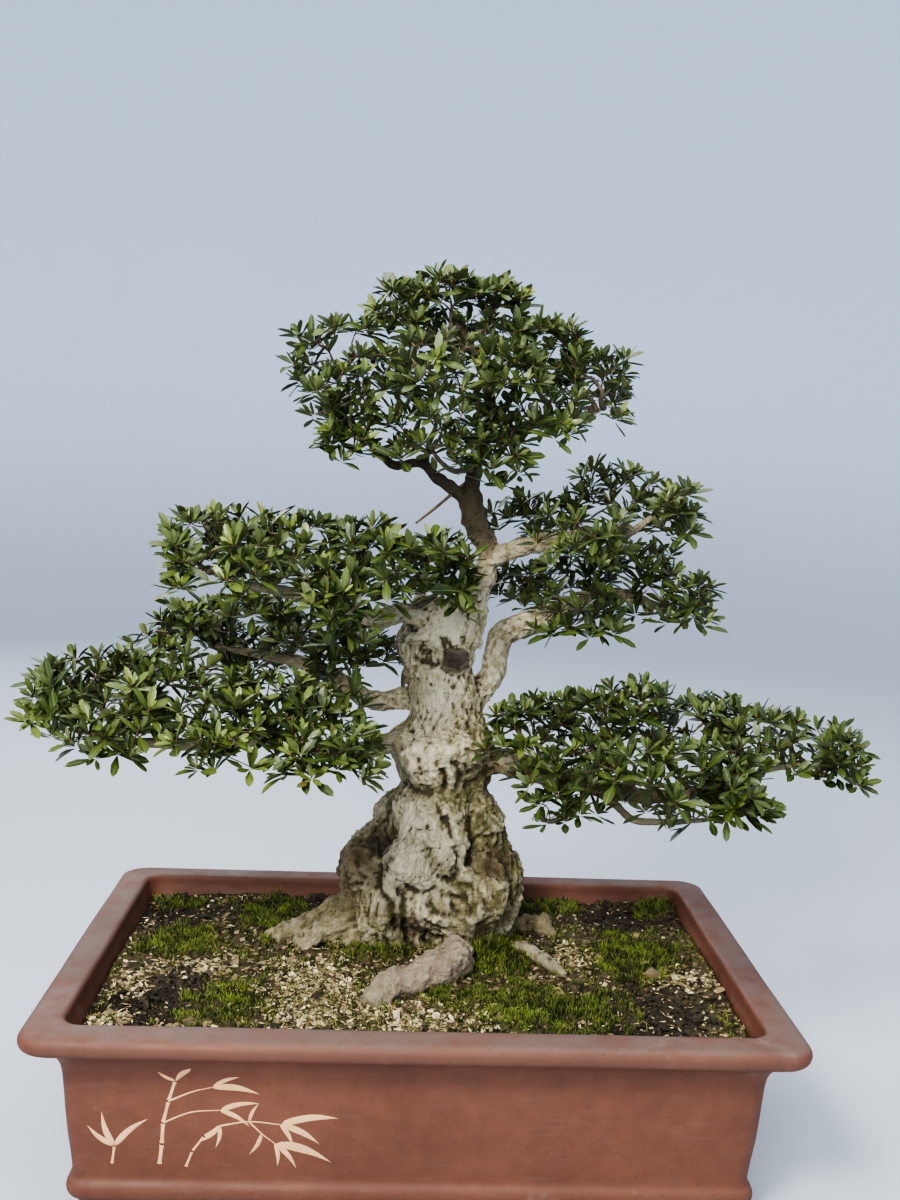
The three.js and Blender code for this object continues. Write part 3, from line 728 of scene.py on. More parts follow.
@dataclass(frozen=True)
class SoilFinish(Finish):
    """Dark crumbly soil, brown-black in humus, green under moss and tan where it is gritty."""

    deep: Colour = (0.008, 0.007, 0.005)
    humus: Colour = (0.03, 0.026, 0.022)
    gritty: Colour = (0.12, 0.095, 0.055)
    mossy: Colour = (0.03, 0.042, 0.008)

    def paint(self, coat: Coat) -> dict[str, Socket]:
        """Crumbs in two browns, with the covers mixed in by the values that the bed carries, and painted
        shade in the low places with painted light on the high ones.

        Args:
            coat: The coat that takes the colour.

        Returns:
            What feeds Height.
        """
        fine = coat.noise(coat.spot, 420.0, 4.0, 0.7)
        coat.lay(coat.times(coat.value("grit"), coat.span(fine, 0.4, 0.6)), self.gritty)
        coat.lay(coat.value("humus"), self.humus, 0.8)
        coat.lay(coat.span(coat.value("moss"), 0.15, 0.6), self.mossy)
        # Painted shade in the soil's low places and painted light on its high ones.
        coat.sink(coat.value("level"), self.deep, self.light, 0.7)
        return {"Height": fine}


@dataclass(frozen=True)
class ScatterFinish(Finish):
    """Small loose things whose tone runs from dark to light over three colours."""

    middle: Colour = (0.24, 0.19, 0.105)

    def base(self, coat: Coat) -> Socket:
        """Each thing's own tone."""
        lower = coat.mix(coat.span(coat.value("tone"), 0.0, 0.45), self.dark, self.middle)
        return coat.mix(coat.span(coat.value("tone"), 0.45, 1.0), lower, self.light)

    def paint(self, coat: Coat) -> dict[str, Socket]:
        """Painted shade and painted light from the fine grain, on each thing's own tone.

        Args:
            coat: The coat that takes the colour.

        Returns:
            What feeds Height.
        """
        height = self.specked(coat)
        # Painted shade in the dips of the grain and painted light on its rises.
        coat.colour = coat.mix(1.0, coat.colour, coat.plus(coat.times(height, 0.8), 0.6), "MULTIPLY")
        return {"Height": height}


@dataclass(frozen=True)
class MossFinish(Finish):
    """Moss, bright at the tips, with painted shade at the root."""

    root: Colour = (0.01, 0.014, 0.003)
    shade: Colour = (0.014, 0.024, 0.004)
    straw: Colour = (0.36, 0.35, 0.12)

    def paint(self, coat: Coat) -> dict[str, Socket]:
        """Root to tip, with painted light on the tufts atop the cushions, painted shade on those between and
        at the root, and some whole tufts yellower.

        Args:
            coat: The coat that takes the colour.

        Returns:
            Nothing but the colour.
        """
        # Painted light on the tufts atop the cushions, painted shade on those between.
        coat.colour = coat.mix(coat.value("lit"), self.shade, coat.colour)
        coat.lay(coat.span(coat.value("tone"), 0.7, 1.0, 0.0, 0.7), self.straw)
        # Painted shade at the root of each tuft.
        coat.colour = coat.mix(coat.value("rise"), self.root, coat.colour)
        return {}


@dataclass(frozen=True)
class BarkFinish(Finish):
    """Grey-beige azalea bark with fibres, lichen and dark seams."""

    pale: Colour = (0.92, 0.85, 0.64)
    deep: Colour = (0.055, 0.042, 0.025)
    lichen: Colour = (0.46, 0.44, 0.17)
    seam: Colour = (0.15, 0.12, 0.07)
    hollow: Colour = (0.15, 0.12, 0.065)
    stains: tuple = (
        ("rust", (0.24, 0.165, 0.085), (0.075, 0.052, 0.03)),
        ("old", (0.34, 0.29, 0.175), (0.15, 0.12, 0.07)),
        ("flesh", (0.48, 0.375, 0.3), (0.25, 0.175, 0.13)),
    )
    olive: tuple = ((0.29, 0.275, 0.115), (0.085, 0.078, 0.034))
    stain_patches: float = 75.0

    def paint(self, coat: Coat) -> dict[str, Socket]:
        """Fibres and patches in two tones, then lichen, pale wood, painted shade in the hollows with a
        painted highlight on the bumps, green moss that partly stands for painted shade, rust, painted shade
        in the clefts and dark seams.

        Args:
            coat: The coat that takes the colour.

        Returns:
            What feeds Height.
        """
        fibre, level, upright = (coat.value(name) for name in ("fibre", "level", "upright"))
        coat.lay(coat.span(fibre, 0.35, 0.75, 0.0, 0.55), self.pale)
        coat.lay(coat.span(fibre, 0.42, 0.1, 0.0, 0.6), self.dark)
        strands = coat.noise(coat.place((1.0, 1.0, 0.07)), 330.0, 5.0, 0.62)
        coat.lay(coat.times(coat.span(strands, 0.5, 0.36), upright), self.seam, 0.55)
        coat.lay(coat.span(coat.noise(coat.spot, 130.0, 5.0, 0.65), 0.52, 0.66), self.lichen, 0.55)
        coat.lay(coat.value("pale"), self.pale, 0.8)
        # Painted shade in the bark's hollows and a painted highlight on its bumps.
        coat.sink(level, self.hollow, self.pale, 0.75)
        # Olive green of moss, which also carries painted shade where the green value covers shaded sides and
        # faces turned away.
        uneven = coat.plus(coat.span(coat.noise(coat.spot, 45.0, 6.0, 0.7), 0.3, 0.62), 0.5)
        green = coat.times(coat.value("green"), uneven, clamp=True)
        coat.lay(coat.times(green, coat.span(level, 0.5, 0.95, 1.0, 0.75)),
                 coat.mottled(self.stain_patches, *self.olive, 1.3))
        for name, light, dark in self.stains:
            coat.lay(coat.value(name), coat.mottled(self.stain_patches, light, dark, 1.2), 0.9)
        # Painted shade in the deepest hollows.
        coat.lay(coat.span(level, 0.36, 0.06, 0.0, 0.6), self.deep)
        # The dark value: painted shade in the clefts and on the top of the leader, with small dark marks and
        # the sawn face's dark edge.
        coat.lay(coat.value("dark"), self.deep)
        coat.lay(coat.span(coat.noise(coat.spot, 240.0, 6.0, 0.7), 0.42, 0.33), self.seam, 0.4)
        knots = coat.times(coat.noise(coat.spot, 190.0, 6.0, 0.7), 3.4)
        fibres = coat.times(coat.times(strands, 3.0), upright)
        return {"Height": coat.plus(coat.plus(self.specked(coat), fibres), knots)}


@dataclass(frozen=True)
class SawnFinish(Finish):
    """The weather-beaten end grain of a branch sawn off long ago."""

    edge: Colour = (0.2, 0.165, 0.11)

    def paint(self, coat: Coat) -> dict[str, Socket]:
        """Dark rings round the pith, with grain and a paler edge.

        Args:
            coat: The coat that takes the colour.

        Returns:
            What feeds Height.
        """
        height = self.specked(coat)
        ring = coat.math("FRACT", coat.times(coat.value("ring"), 7.0))
        coat.lay(coat.span(ring, 0.55, 1.0, 0.0, 0.6), self.dark)
        coat.lay(coat.span(coat.value("ring"), 0.9, 1.0, 0.0, 0.35), self.edge)
        return {"Height": coat.plus(height, ring)}


@dataclass(frozen=True)
class TwigFinish(Finish):
    """Twigs that are grey-brown where old and red-brown where young, with bud scales."""

    young: Colour = (0.14, 0.078, 0.042)
    bud: Colour = (0.3, 0.21, 0.07)

    def paint(self, coat: Coat) -> dict[str, Socket]:
        """Old wood to young wood to bud, with grain.

        Args:
            coat: The coat that takes the colour.

        Returns:
            What feeds Height.
        """
        coat.lay(coat.value("youth"), self.young)
        coat.lay(coat.value("bud"), self.bud)
        return {"Height": self.specked(coat)}


@dataclass(frozen=True)
class LeafFinish(Finish):
    """Glossy azalea leaves, yellow-green when young and dark when old, paler underneath."""

    young: Colour = (0.23, 0.29, 0.065)
    rib: Colour = (0.16, 0.21, 0.06)
    under: Colour = (0.11, 0.14, 0.05)
    brown: Colour = (0.17, 0.075, 0.032)

    def base(self, coat: Coat) -> Socket:
        """Each blade's own green."""
        return coat.mix(coat.value("tone"), self.dark, self.light)

    def paint(self, coat: Coat) -> dict[str, Socket]:
        """Young and blotched green, the rib and veins, the paler underside and the browned old ones.

        Args:
            coat: The coat that takes the colour.

        Returns:
            What feeds Roughness and Height.
        """
        across, along, below = (coat.value(name) for name in ("across", "along", "under"))
        across = coat.math("ABSOLUTE", across)
        coat.lay(coat.value("youth"), self.young)
        blotch = coat.noise(coat.spot, 210.0, 3.0, 0.6)
        coat.lay(coat.span(blotch, 0.35, 0.7, 0.0, 0.3), self.dark)
        slant = coat.math("SUBTRACT", coat.times(along, 9.0), coat.times(across, 1.6))
        ripple = coat.math("ABSOLUTE", coat.math("SUBTRACT", coat.math("FRACT", slant), 0.5))
        veins, rib = coat.span(ripple, 0.1, 0.0), coat.span(across, 0.13, 0.03)
        coat.lay(veins, self.rib, 0.16)
        coat.lay(rib, self.rib, 0.6)
        coat.lay(below, self.under, 0.75)
        coat.lay(coat.span(along, 0.14, 0.0, 0.0, 0.6), self.brown)
        coat.lay(coat.value("browned"), self.brown)
        rough = coat.plus(coat.times(below, 0.25), coat.span(blotch, 0.3, 0.7, 0.28, 0.44))
        return {"Roughness": rough, "Height": coat.plus(coat.times(veins, -0.5), coat.times(rib, -1.0))}


@dataclass(frozen=True)
class BackdropFinish(Finish):
    """The studio's pale cool paper, evenly lit from behind."""

    floor: Colour = (0.42, 0.46, 0.52)

    def paint(self, coat: Coat) -> dict[str, Socket]:
        """Almost even, with faint broad patches.

        Args:
            coat: The coat that takes the colour.

        Returns:
            What feeds Emission Color.
        """
        coat.lay(coat.span(coat.upward(coat.spot), 0.9, 0.0), self.floor)
        return {"Emission Color": coat.colour}


PAPER = BackdropFinish("studio_paper", (0.57, 0.65, 0.77), (0.54, 0.62, 0.74), roughness=0.95, specular=0.1,
                       glow=0.31, patches=2.0, contrast=0.6)
CLAY = ClayFinish("stoneware_clay", (0.172, 0.07, 0.042), (0.112, 0.044, 0.029), 0.6, 0.35, 0.35, patches=9.0,
                  contrast=1.1, grain=(900.0, 160.0, 0.16), speck=(0.07, 0.035, 0.028), speck_share=0.55)
SLIP = Finish("cream_slip", (0.75, 0.48, 0.26), (0.57, 0.34, 0.18), 0.62, 0.35, grain=(1200.0, 420.0, 0.14),
              speck_share=0.4)
NET = Finish("screen_plastic", (0.07, 0.07, 0.068), (0.018, 0.019, 0.02), 0.65, 0.4, 0.2, patches=120.0,
             grain=(1500.0, 500.0, 0.2))
SOIL = SoilFinish("soil_crumb", (0.1, 0.08, 0.044), (0.024, 0.02, 0.012), 0.92, 0.25, 0.7, 0.8, patches=110.0,
                  contrast=1.6)
GRIT = ScatterFinish("grit", (0.7, 0.625, 0.43), (0.03, 0.024, 0.018), bump=0.5, grain=(900.0, 600.0, 0.3))
STRAW = ScatterFinish("straw", (0.56, 0.48, 0.27), (0.07, 0.045, 0.026), bump=0.5, grain=(900.0, 600.0, 0.3),
                      middle=(0.27, 0.2, 0.09))
MOSS = MossFinish("moss_tufts", (0.31, 0.41, 0.07), (0.08, 0.12, 0.02), 0.8, 0.25, patches=40.0, contrast=1.8)
BARK = BarkFinish("azalea_bark", (0.86, 0.765, 0.5), (0.36, 0.3, 0.17), bump=1.0, relief_mm=2.2,
                  patches=55.0, contrast=1.1, grain=(520.0, 260.0, 0.2), speck=(0.055, 0.042, 0.025),
                  speck_share=0.25)
SAWN = SawnFinish("sawn_end_grain", (0.1, 0.08, 0.058), (0.03, 0.024, 0.02), 0.85, 0.5, 0.8, 0.5,
                  patches=140.0, grain=(900.0, 500.0, 0.3))
TWIG = TwigFinish("azalea_twig", (0.2, 0.165, 0.115), (0.075, 0.055, 0.038), 0.75, bump=0.5, patches=160.0,
                  contrast=1.4)
LEAF = LeafFinish("azalea_leaf", (0.062, 0.092, 0.019), (0.021, 0.036, 0.01), 0.42, 0.5, 0.45, 0.25)


@dataclass
class Studio:
    """The camera, lights, floor and backdrop."""

    camera_mm: tuple[float, float, float] = (-29.5, -1091.7, 593.1)
    down_degrees: float = 6.365
    right_degrees: float = 2.461
    roll_degrees: float = 2.235
    lens_mm: float = 38.0
    film_mm: float = 36.0
    sky: tuple = (0.76, 0.88, 1.0, 1.0)
    sky_strength: float = 0.36
    aim: Vector = field(default_factory=lambda: Vector((0, 0, 0.3)))
    # Each light's name, place and width in metres, watts and colour.
    lights: tuple = (
        ("key", (-0.95, -1.6, 1.9), 0.55, 62.0, (1.0, 0.96, 0.88)),
        ("front", (-0.45, -1.95, 1.15), 0.8, 26.0, (1.0, 0.97, 0.92)),
        ("fill", (1.5, -1.1, 1.2), 1.5, 8.0, (0.93, 0.96, 1.0)),
        ("top", (0.1, 0.3, 2.2), 1.2, 21.0, (1.0, 0.98, 0.95)),
        ("back", (-0.9, 2.1, 1.5), 1.2, 16.0, (1.0, 0.98, 0.95)),
    )
    floor_reach: tuple = (300.0, 1200.0)
    bend: float = 3000.0
    bend_radius: float = 1200.0
    backdrop_top: float = 3000.0
    floor_sides: int = 96

    def place_camera(self) -> None:
        """Sets the camera in front of the tree, a little above it and hardly turned."""
        down, right, roll = map(math.radians, (self.down_degrees, self.right_degrees, self.roll_degrees))
        ahead = Vector((math.sin(right) * math.cos(down), math.cos(right) * math.cos(down), -math.sin(down)))
        level = Vector((math.cos(right), -math.sin(right), 0.0))
        upright = level.cross(ahead)
        across = math.cos(roll) * level + math.sin(roll) * upright
        above = -math.sin(roll) * level + math.cos(roll) * upright
        data = bpy.data.cameras.new("camera")
        data.sensor_fit = "VERTICAL"
        data.sensor_height = self.film_mm
        data.lens = self.lens_mm
        data.clip_start = 0.05
        camera = bpy.data.objects.new("camera", data)
        place = (np.array(self.camera_mm) + POT_MIDDLE) * MM
        turn = Matrix((across, above, -ahead)).transposed().to_4x4()
        camera.matrix_world = Matrix.Translation(place) @ turn
        bpy.context.scene.collection.objects.link(camera)
        bpy.context.scene.camera = camera

    def light(self) -> None:
        """An overcast sky's even light, with square soft lights that look at the tree."""
        world = bpy.data.worlds.new("overcast")
        bpy.context.scene.world = world
        world.use_nodes = True
        sky = world.node_tree.nodes["Background"]
        sky.inputs["Color"].default_value = self.sky
        sky.inputs["Strength"].default_value = self.sky_strength
        for name, place, width, watts, colour in self.lights:
            data = bpy.data.lights.new(name, "AREA")
            data.shape = "SQUARE"
            data.size = width
            data.energy = watts
            data.color = colour
            light = bpy.data.objects.new(name, data)
            light.location = place
            light.rotation_euler = (self.aim - Vector(place)).to_track_quat("-Z", "Y").to_euler()
            bpy.context.scene.collection.objects.link(light)
        bpy.context.scene.view_settings.look = "AgX - High Contrast"

    def lay_backdrop(self, material: Material) -> None:
        """Lays the round floor and sweeps it up into a backdrop that stands behind every view.

        Args:
            material: The paper.
        """
        arc = np.linspace(0, np.pi / 2, 17)
        out, rise = self.bend + self.bend_radius * np.sin(arc), self.bend_radius * (1 - np.cos(arc))
        reach = np.concatenate([self.floor_reach, out, out[-1:]])
        heights = np.concatenate([[0.0, 0.0], rise, [self.backdrop_top]])
        turn = 2 * np.pi * np.arange(self.floor_sides) / self.floor_sides
        circle = np.column_stack([np.cos(turn), np.sin(turn)])
        rings = [raised(far * circle, height) for far, height in zip(reach, heights)]
        draft = Draft()
        open_skin = skin(len(rings), self.floor_sides)[:-self.floor_sides, ::-1]
        draft.add(np.vstack([*rings, np.zeros((1, 3))]), open_skin)
        draft.build("studio_floor", material)


@dataclass
class StonewarePot:
    """The rectangular pot with its rolled rim, base band, bracket feet and drain holes."""

    half: Array = field(default_factory=lambda: np.array([300.0, 200.0]))
    rim_corner: float = 22.0
    inner_corner: float = 10.0
    corner_shrink: float = 0.25
    floor_top: float = 26.0
    floor_bottom: float = 14.0
    drain_radius: float = 14.0
    drain_sides: int = 28
    drain_places: tuple[float, float] = (-115.0, 115.0)
    corner_steps: int = 8
    side_steps: tuple[int, int] = (22, 14)
    foot_inset: float = 39.0
    foot_bend: float = 12.0
    foot_bevel: float = 1.6
    foot_arms: tuple[float, float] = (92.0, 74.0)
    foot_breadth: float = 26.0
    outside: tuple = (
        (42, 14), (36, 15), (32.4, 18.5), (31, 24), (32, 29), (34.3, 31.6), (35, 34), (34.2, 46),
        (32.9, 58), (31.5, 70), (30, 88), (28.5, 108), (27.6, 118), (25.6, 127), (22, 133.5), (17, 138.8),
        (11, 142.4), (5, 144.4), (1.6, 146.8), (0, 151), (0.2, 155), (2.4, 158.2), (6.5, 159.7), (12, 160),
        (20, 160.2),
    )
    inside: tuple = (
        (26, 160.3), (28.6, 159.8), (29.6, 158.2), (30, 155), (31, 150), (34, 142), (38, 132), (40, 112),
        (43, 70), (46, 31), (49, 27.2), (54, 26),
    )
    noise: Noise = field(default_factory=lambda: Noise(11))

    def warp(self, points: Array) -> Array:
        """The slight hand-made unevenness of the walls, outwards."""
        return 0.7 * self.noise.layered(points / 110.0, 3)

    def ring(self, inset: float, radius: float, height: float) -> Array:
        """The outline of the pot at one level.

        Args:
            inset: How far in from the edge of the rim it lies.
            radius: The radius of its corners.
            height: Its height.

        Returns:
            The ring's corners, anticlockwise from above.
        """
        half = self.half - inset
        turns = np.linspace(0, np.pi / 2, self.corner_steps + 1)
        arcs = []
        for quarter, signs in enumerate(((1, 1), (-1, 1), (-1, -1), (1, -1))):
            angle = turns + quarter * np.pi / 2
            round_part = radius * np.column_stack([np.cos(angle), np.sin(angle)])
            arcs.append(np.array(signs) * (half - radius) + round_part)
        parts = []
        for quarter, arc in enumerate(arcs):
            share = np.linspace(0, 1, self.side_steps[quarter % 2] + 2)[1:-1, None]
            parts += [arc, arc[-1] + share * (arcs[(quarter + 1) % 4][0] - arc[-1])]
        points = raised(np.vstack(parts), height)
        freedom = 1.0 if height > self.floor_bottom + 1 else 0.3
        points[:, :2] += self.warp(points)[:, None] * unit(points[:, :2] / half**2) * freedom
        return points

    def wall_inset(self, height: Array) -> Array:
        """How far in from the edge of the rim the outside wall lies at each height."""
        wall = smooth_route([(inset, 0, z) for inset, z in self.outside[6:14]], 1.0)
        return np.interp(height, wall[:, 2], wall[:, 0])

    def drain_ring(self, centre: float, height: float) -> Array:
        """The edge of a drain hole.

        Args:
            centre: Where its middle lies along the pot.
            height: Its height.

        Returns:
            The ring's corners, anticlockwise from above.
        """
        angle = 2 * np.pi * np.arange(self.drain_sides) / self.drain_sides
        circle = self.drain_radius * np.column_stack([np.cos(angle), np.sin(angle)])
        return raised(circle + (centre, 0.0), height)

    def floor(self, edge: Array, holes: list[Array], up: bool) -> tuple[Array, Array]:
        """Fills a ring with a flat floor that leaves the drain holes open.

        Args:
            edge: The ring round the floor.
            holes: The ring of each drain hole.
            up: Whether the floor faces up.

        Returns:
            The corners and triangles of the floor.
        """
        grid = [(x, y) for x in range(-220, 221, 40) for y in range(-120, 121, 40)]
        clear = [p for p in grid if all(math.dist(p, h.mean(0)[:2]) > self.drain_radius + 9 for h in holes)]
        flat = [Vector(p[:2]) for ring in (edge, *holes) for p in ring] + [Vector(p) for p in clear]
        corners, _, faces, *_ = delaunay_2d_cdt(flat, [], [], 0, 1e-5)
        corners = np.array([tuple(c) for c in corners])
        faces = np.array([f for f in faces if len(f) == 3])
        for hole in holes:
            gap = np.linalg.norm(corners[faces].mean(axis=1) - hole.mean(0)[:2], axis=1)
            faces = faces[gap > self.drain_radius * 0.97]
        one, other = corners[faces[:, 1]] - corners[faces[:, 0]], corners[faces[:, 2]] - corners[faces[:, 0]]
        wrong = (one[:, 0] * other[:, 1] - one[:, 1] * other[:, 0] > 0) != up
        faces[wrong] = faces[wrong][:, ::-1]
        return raised(corners, edge[0, 2]), faces

    def add_foot(self, draft: Draft, signs: tuple[int, int]) -> None:
        """Adds one bracket foot, an L along the corner of the base with rounded lower edges.

        Args:
            draft: What it is added to.
            signs: On which side of the middle it stands, along x and y.
        """
        turn = np.linspace(0, np.pi / 2, 7)
        rounded = self.foot_bend * np.column_stack([1 - np.sin(turn), 1 - np.cos(turn)])
        (long_arm, short_arm), breadth = self.foot_arms, self.foot_breadth
        arms = [(0, short_arm), (breadth * 0.55, short_arm - 2), (breadth, short_arm - 10),
                (breadth, breadth + 4), (breadth + 4, breadth), (long_arm - 10, breadth),
                (long_arm - 2, breadth * 0.55), (long_arm, 0)]
        outline = np.array(signs) * (self.half - self.foot_inset - np.vstack([rounded, arms]))
        sheet = bmesh.new()
        face = sheet.faces.new([sheet.verts.new(corner) for corner in raised(outline)])
        lifted = bmesh.ops.extrude_face_region(sheet, geom=[face])["geom"]
        top = [part for part in lifted if isinstance(part, bmesh.types.BMVert)]
        bmesh.ops.translate(sheet, verts=top, vec=(0, 0, self.floor_bottom + 3))
        edges = [e for e in sheet.edges if all(v.co.z < 0.1 for v in e.verts)]
        bevel = {"offset": self.foot_bevel, "segments": 3, "affect": "EDGES", "clamp_overlap": True}
        bmesh.ops.bevel(sheet, geom=edges, **bevel)
        bmesh.ops.recalc_face_normals(sheet, faces=sheet.faces)
        bmesh.ops.triangulate(sheet, faces=sheet.faces)
        sheet.verts.index_update()
        corners = np.array([tuple(v.co) for v in sheet.verts])
        triangles = np.array([[v.index for v in f.verts] for f in sheet.faces])
        sheet.free()
        draft.add(corners, triangles, edge=smoothstep(2.5, 0.5, corners[:, 2]))

    def build(self, clay: Material) -> None:
        """Builds the pot in one skin with its feet.

        Args:
            clay: Its material.
        """
        outer, inner = (smooth_route([(inset, 0, z) for inset, z in wall], spacing)
                        for wall, spacing in ((self.outside, 2.0), (self.inside, 3.2)))
        rings = [self.ring(i, self.rim_corner - self.corner_shrink * i, z) for i, _, z in outer]
        rim_end = self.rim_corner - self.corner_shrink * outer[-1, 0]
        turned = rim_end + (self.inner_corner - rim_end) * np.linspace(0, 1, len(inner)) ** 0.5
        rings += [self.ring(i, radius, z) for (i, _, z), radius in zip(inner, turned)]
        sides = len(rings[0])
        corners = np.vstack(rings)
        reach = (np.abs(corners[:, :2]) / self.half).max(axis=1)
        edge = smoothstep(0.985, 1.0, reach) * smoothstep(144, 150, corners[:, 2])
        band = smoothstep(3.5, 0.5, np.abs(corners[:, 2] - 24)) * smoothstep(0.85, 0.88, reach)
        draft = Draft(("edge",))
        walls = skin(len(rings), sides)[: 2 * sides * (len(rings) - 1)]
        draft.add(corners, walls, edge=np.maximum(edge, 0.6 * band))
        for ring, up in ((rings[0], False), (rings[-1], True)):
            draft.add(*self.floor(ring, [self.drain_ring(x, ring[0, 2]) for x in self.drain_places], up))
        for x in self.drain_places:
            hole = [self.drain_ring(x, z) for z in (self.floor_top, self.floor_bottom)]
            draft.add(np.vstack(hole), skin(2, self.drain_sides)[: 2 * self.drain_sides])
        for signs in itertools.product((1, -1), repeat=2):
            self.add_foot(draft, signs)
        settle(weld(draft.build("pot_stoneware", clay)), "stoneware", "pot")


@dataclass
class BambooInlay:
    """A sprig of bamboo in cream slip on the left of the pot's front, in a plain layout."""

    pot: StonewarePot
    proud: float = 0.5
    sunk: float = 0.15
    joint_gap: float = 0.9
    culms: tuple = (
        ((-196, 46), (-194, 64), (-193, 82), (-189, 100), (-184, 117)),
        ((-176, 44), (-171, 58), (-162, 71), (-150, 80)), ((-232, 46), (-230, 62)),
    )
    culm_widths: tuple = (3.6, 2.6, 2.4)
    twigs: tuple = (
        ((-193, 82), (-172, 91), (-150, 93)), ((-189, 100), (-171, 108), (-156, 112)),
        ((-150, 80), (-128, 84), (-104, 82)), ((-128, 84), (-118, 74), (-108, 66)),
    )
    leaves: tuple = (
        (-230, 62, 108, 30), (-230, 62, 140, 26), (-230, 62, 42, 34), (-184, 117, 150, 15),
        (-184, 117, 38, 24), (-156, 112, -8, 36), (-156, 112, 24, 22), (-150, 93, -30, 26),
        (-150, 93, 12, 30), (-104, 82, 8, 44), (-104, 82, -28, 34), (-104, 82, -62, 21),
        (-108, 66, -20, 46), (-108, 66, -52, 27), (-108, 66, -84, 20), (-118, 74, -118, 20),
        (-150, 80, -100, 19), (-150, 80, -140, 22), (-128, 84, 64, 17),
    )

    def add_shape(self, draft: Draft, spine: Array, half_widths: Array) -> None:
        """Adds one brush stroke on the wall, which stands proud of it along its middle.

        Args:
            draft: What it is added to.
            spine: The stroke's middle line, as x and height.
            half_widths: Half its width at each point of the line.
        """
        heading = unit(np.gradient(spine, axis=0))
        across = np.column_stack([-heading[:, 1], heading[:, 0]]) * half_widths[:, None]
        count = len(spine)
        x, z = np.vstack([spine + across, spine, spine - across]).T
        points = np.column_stack([x, self.pot.wall_inset(z) - self.pot.half[1], z])
        points[:, 1] -= self.pot.warp(points) + np.repeat([-self.sunk, self.proud, -self.sunk], count)
        here = np.arange(count - 1)
        bands = [np.vstack([np.column_stack([a + here, a + here + 1, a + count + here + 1]),
                            np.column_stack([a + here, a + count + here + 1, a + count + here])])
                 for a in (0, count)]
        draft.add(points, np.vstack(bands)[:, ::-1])

    def build(self, slip: Material) -> None:
        """Builds every culm joint, twig and leaf of the sprig.

        Args:
            slip: Its material.
        """
        draft = Draft()
        for culm, width in zip(self.culms, self.culm_widths):
            for low, high in zip(culm, culm[1:]):
                line, share = np.linspace(low, high, 7), np.linspace(-1, 1, 7)
                line = line - unit(line[-1] - line[0]) * self.joint_gap * share[:, None]
                self.add_shape(draft, line, width / 2 * (0.82 + 0.35 * share**4))
        for twig in self.twigs:
            line = smooth_route([(x, 0, z) for x, z in twig], 3.0)[:, [0, 2]]
            self.add_shape(draft, line, np.linspace(0.95, 0.5, len(line)))
        share = np.linspace(0, 1, 11)
        for x, z, degrees, length in self.leaves:
            cos, sin = math.cos(math.radians(degrees)), math.sin(math.radians(degrees))
            bow = 0.07 * np.sin(np.pi * share)
            line = (x, z) + length * (np.outer(share, (cos, sin)) + np.outer(bow, (-sin, cos)))
            blade = np.sin(np.pi * share**0.62) ** 0.9 * (0.4 + 0.085 * length)
            self.add_shape(draft, line, np.maximum(blade, 0.06))
        settle(draft.build("bamboo_inlay", slip), "stoneware")


@dataclass
class DrainScreens:
    """The two square nets that keep the soil out of the drain holes."""

    pitch: float = 4.4
    strand: float = 0.55
    frame_strand: float = 0.75
    crossing: float = 0.35

    def build(self, plastic: Material) -> None:
        """Builds each net from crossing strands inside a flat frame.

        Args:
            plastic: Its material.
        """
        for name in ("drain_screen_1", "drain_screen_2"):
            low, high = (np.array(corner) / MM - POT_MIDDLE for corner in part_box(name))
            draft = Draft()
            half = (high[0] - low[0]) / 2
            for away, axis in itertools.product(np.arange(-half + 0.8, half, self.pitch), (0, 1)):
                ends = np.tile((low + high) / 2, (2, 1))
                ends[:, axis] += (-half, half)
                ends[:, 1 - axis] += away
                ends[:, 2] += self.crossing if axis else -self.crossing
                radius = self.frame_strand if abs(away) > half - 1 else self.strand
                draft.add(*tube(ends, np.full(2, radius), 6))
            settle(draft.build(name + "_net", plastic), "screen", name)


class Cover(Enum):
    """What lies on a patch of the soil."""

    MOSS = "moss"
    HUMUS = "humus"
    GRIT = "grit"


# Patches of the soil's covers: a place and the half sizes.
PATCHES = {
    Cover.MOSS: (
        (-214, 29, 36, 34), (-138, 106, 27, 60), (-155, -99, 30, 38), (-46, 34, 34, 30), (98, -97, 68, 42),
        (66, 26, 34, 70), (201, 18, 40, 52), (133, 158, 42, 34), (16, -78, 13, 19), (-236, 138, 24, 18),
        (-30, 150, 50, 22), (244, 140, 20, 26),
    ),
    Cover.HUMUS: (
        (-245, 104, 60, 40), (-198, -78, 48, 46), (205, -94, 52, 56), (217, 112, 56, 50),
        (-94, 155, 30, 24), (-110, 66, 40, 18),
    ),
    Cover.GRIT: (
        (-86, -62, 50, 80), (-196, -24, 38, 22), (228, -29, 26, 26), (-246, -125, 20, 26),
        (46, -112, 26, 24), (-6, -114, 36, 32), (-240, -60, 16, 36), (146, 22, 20, 24),
    ),
}


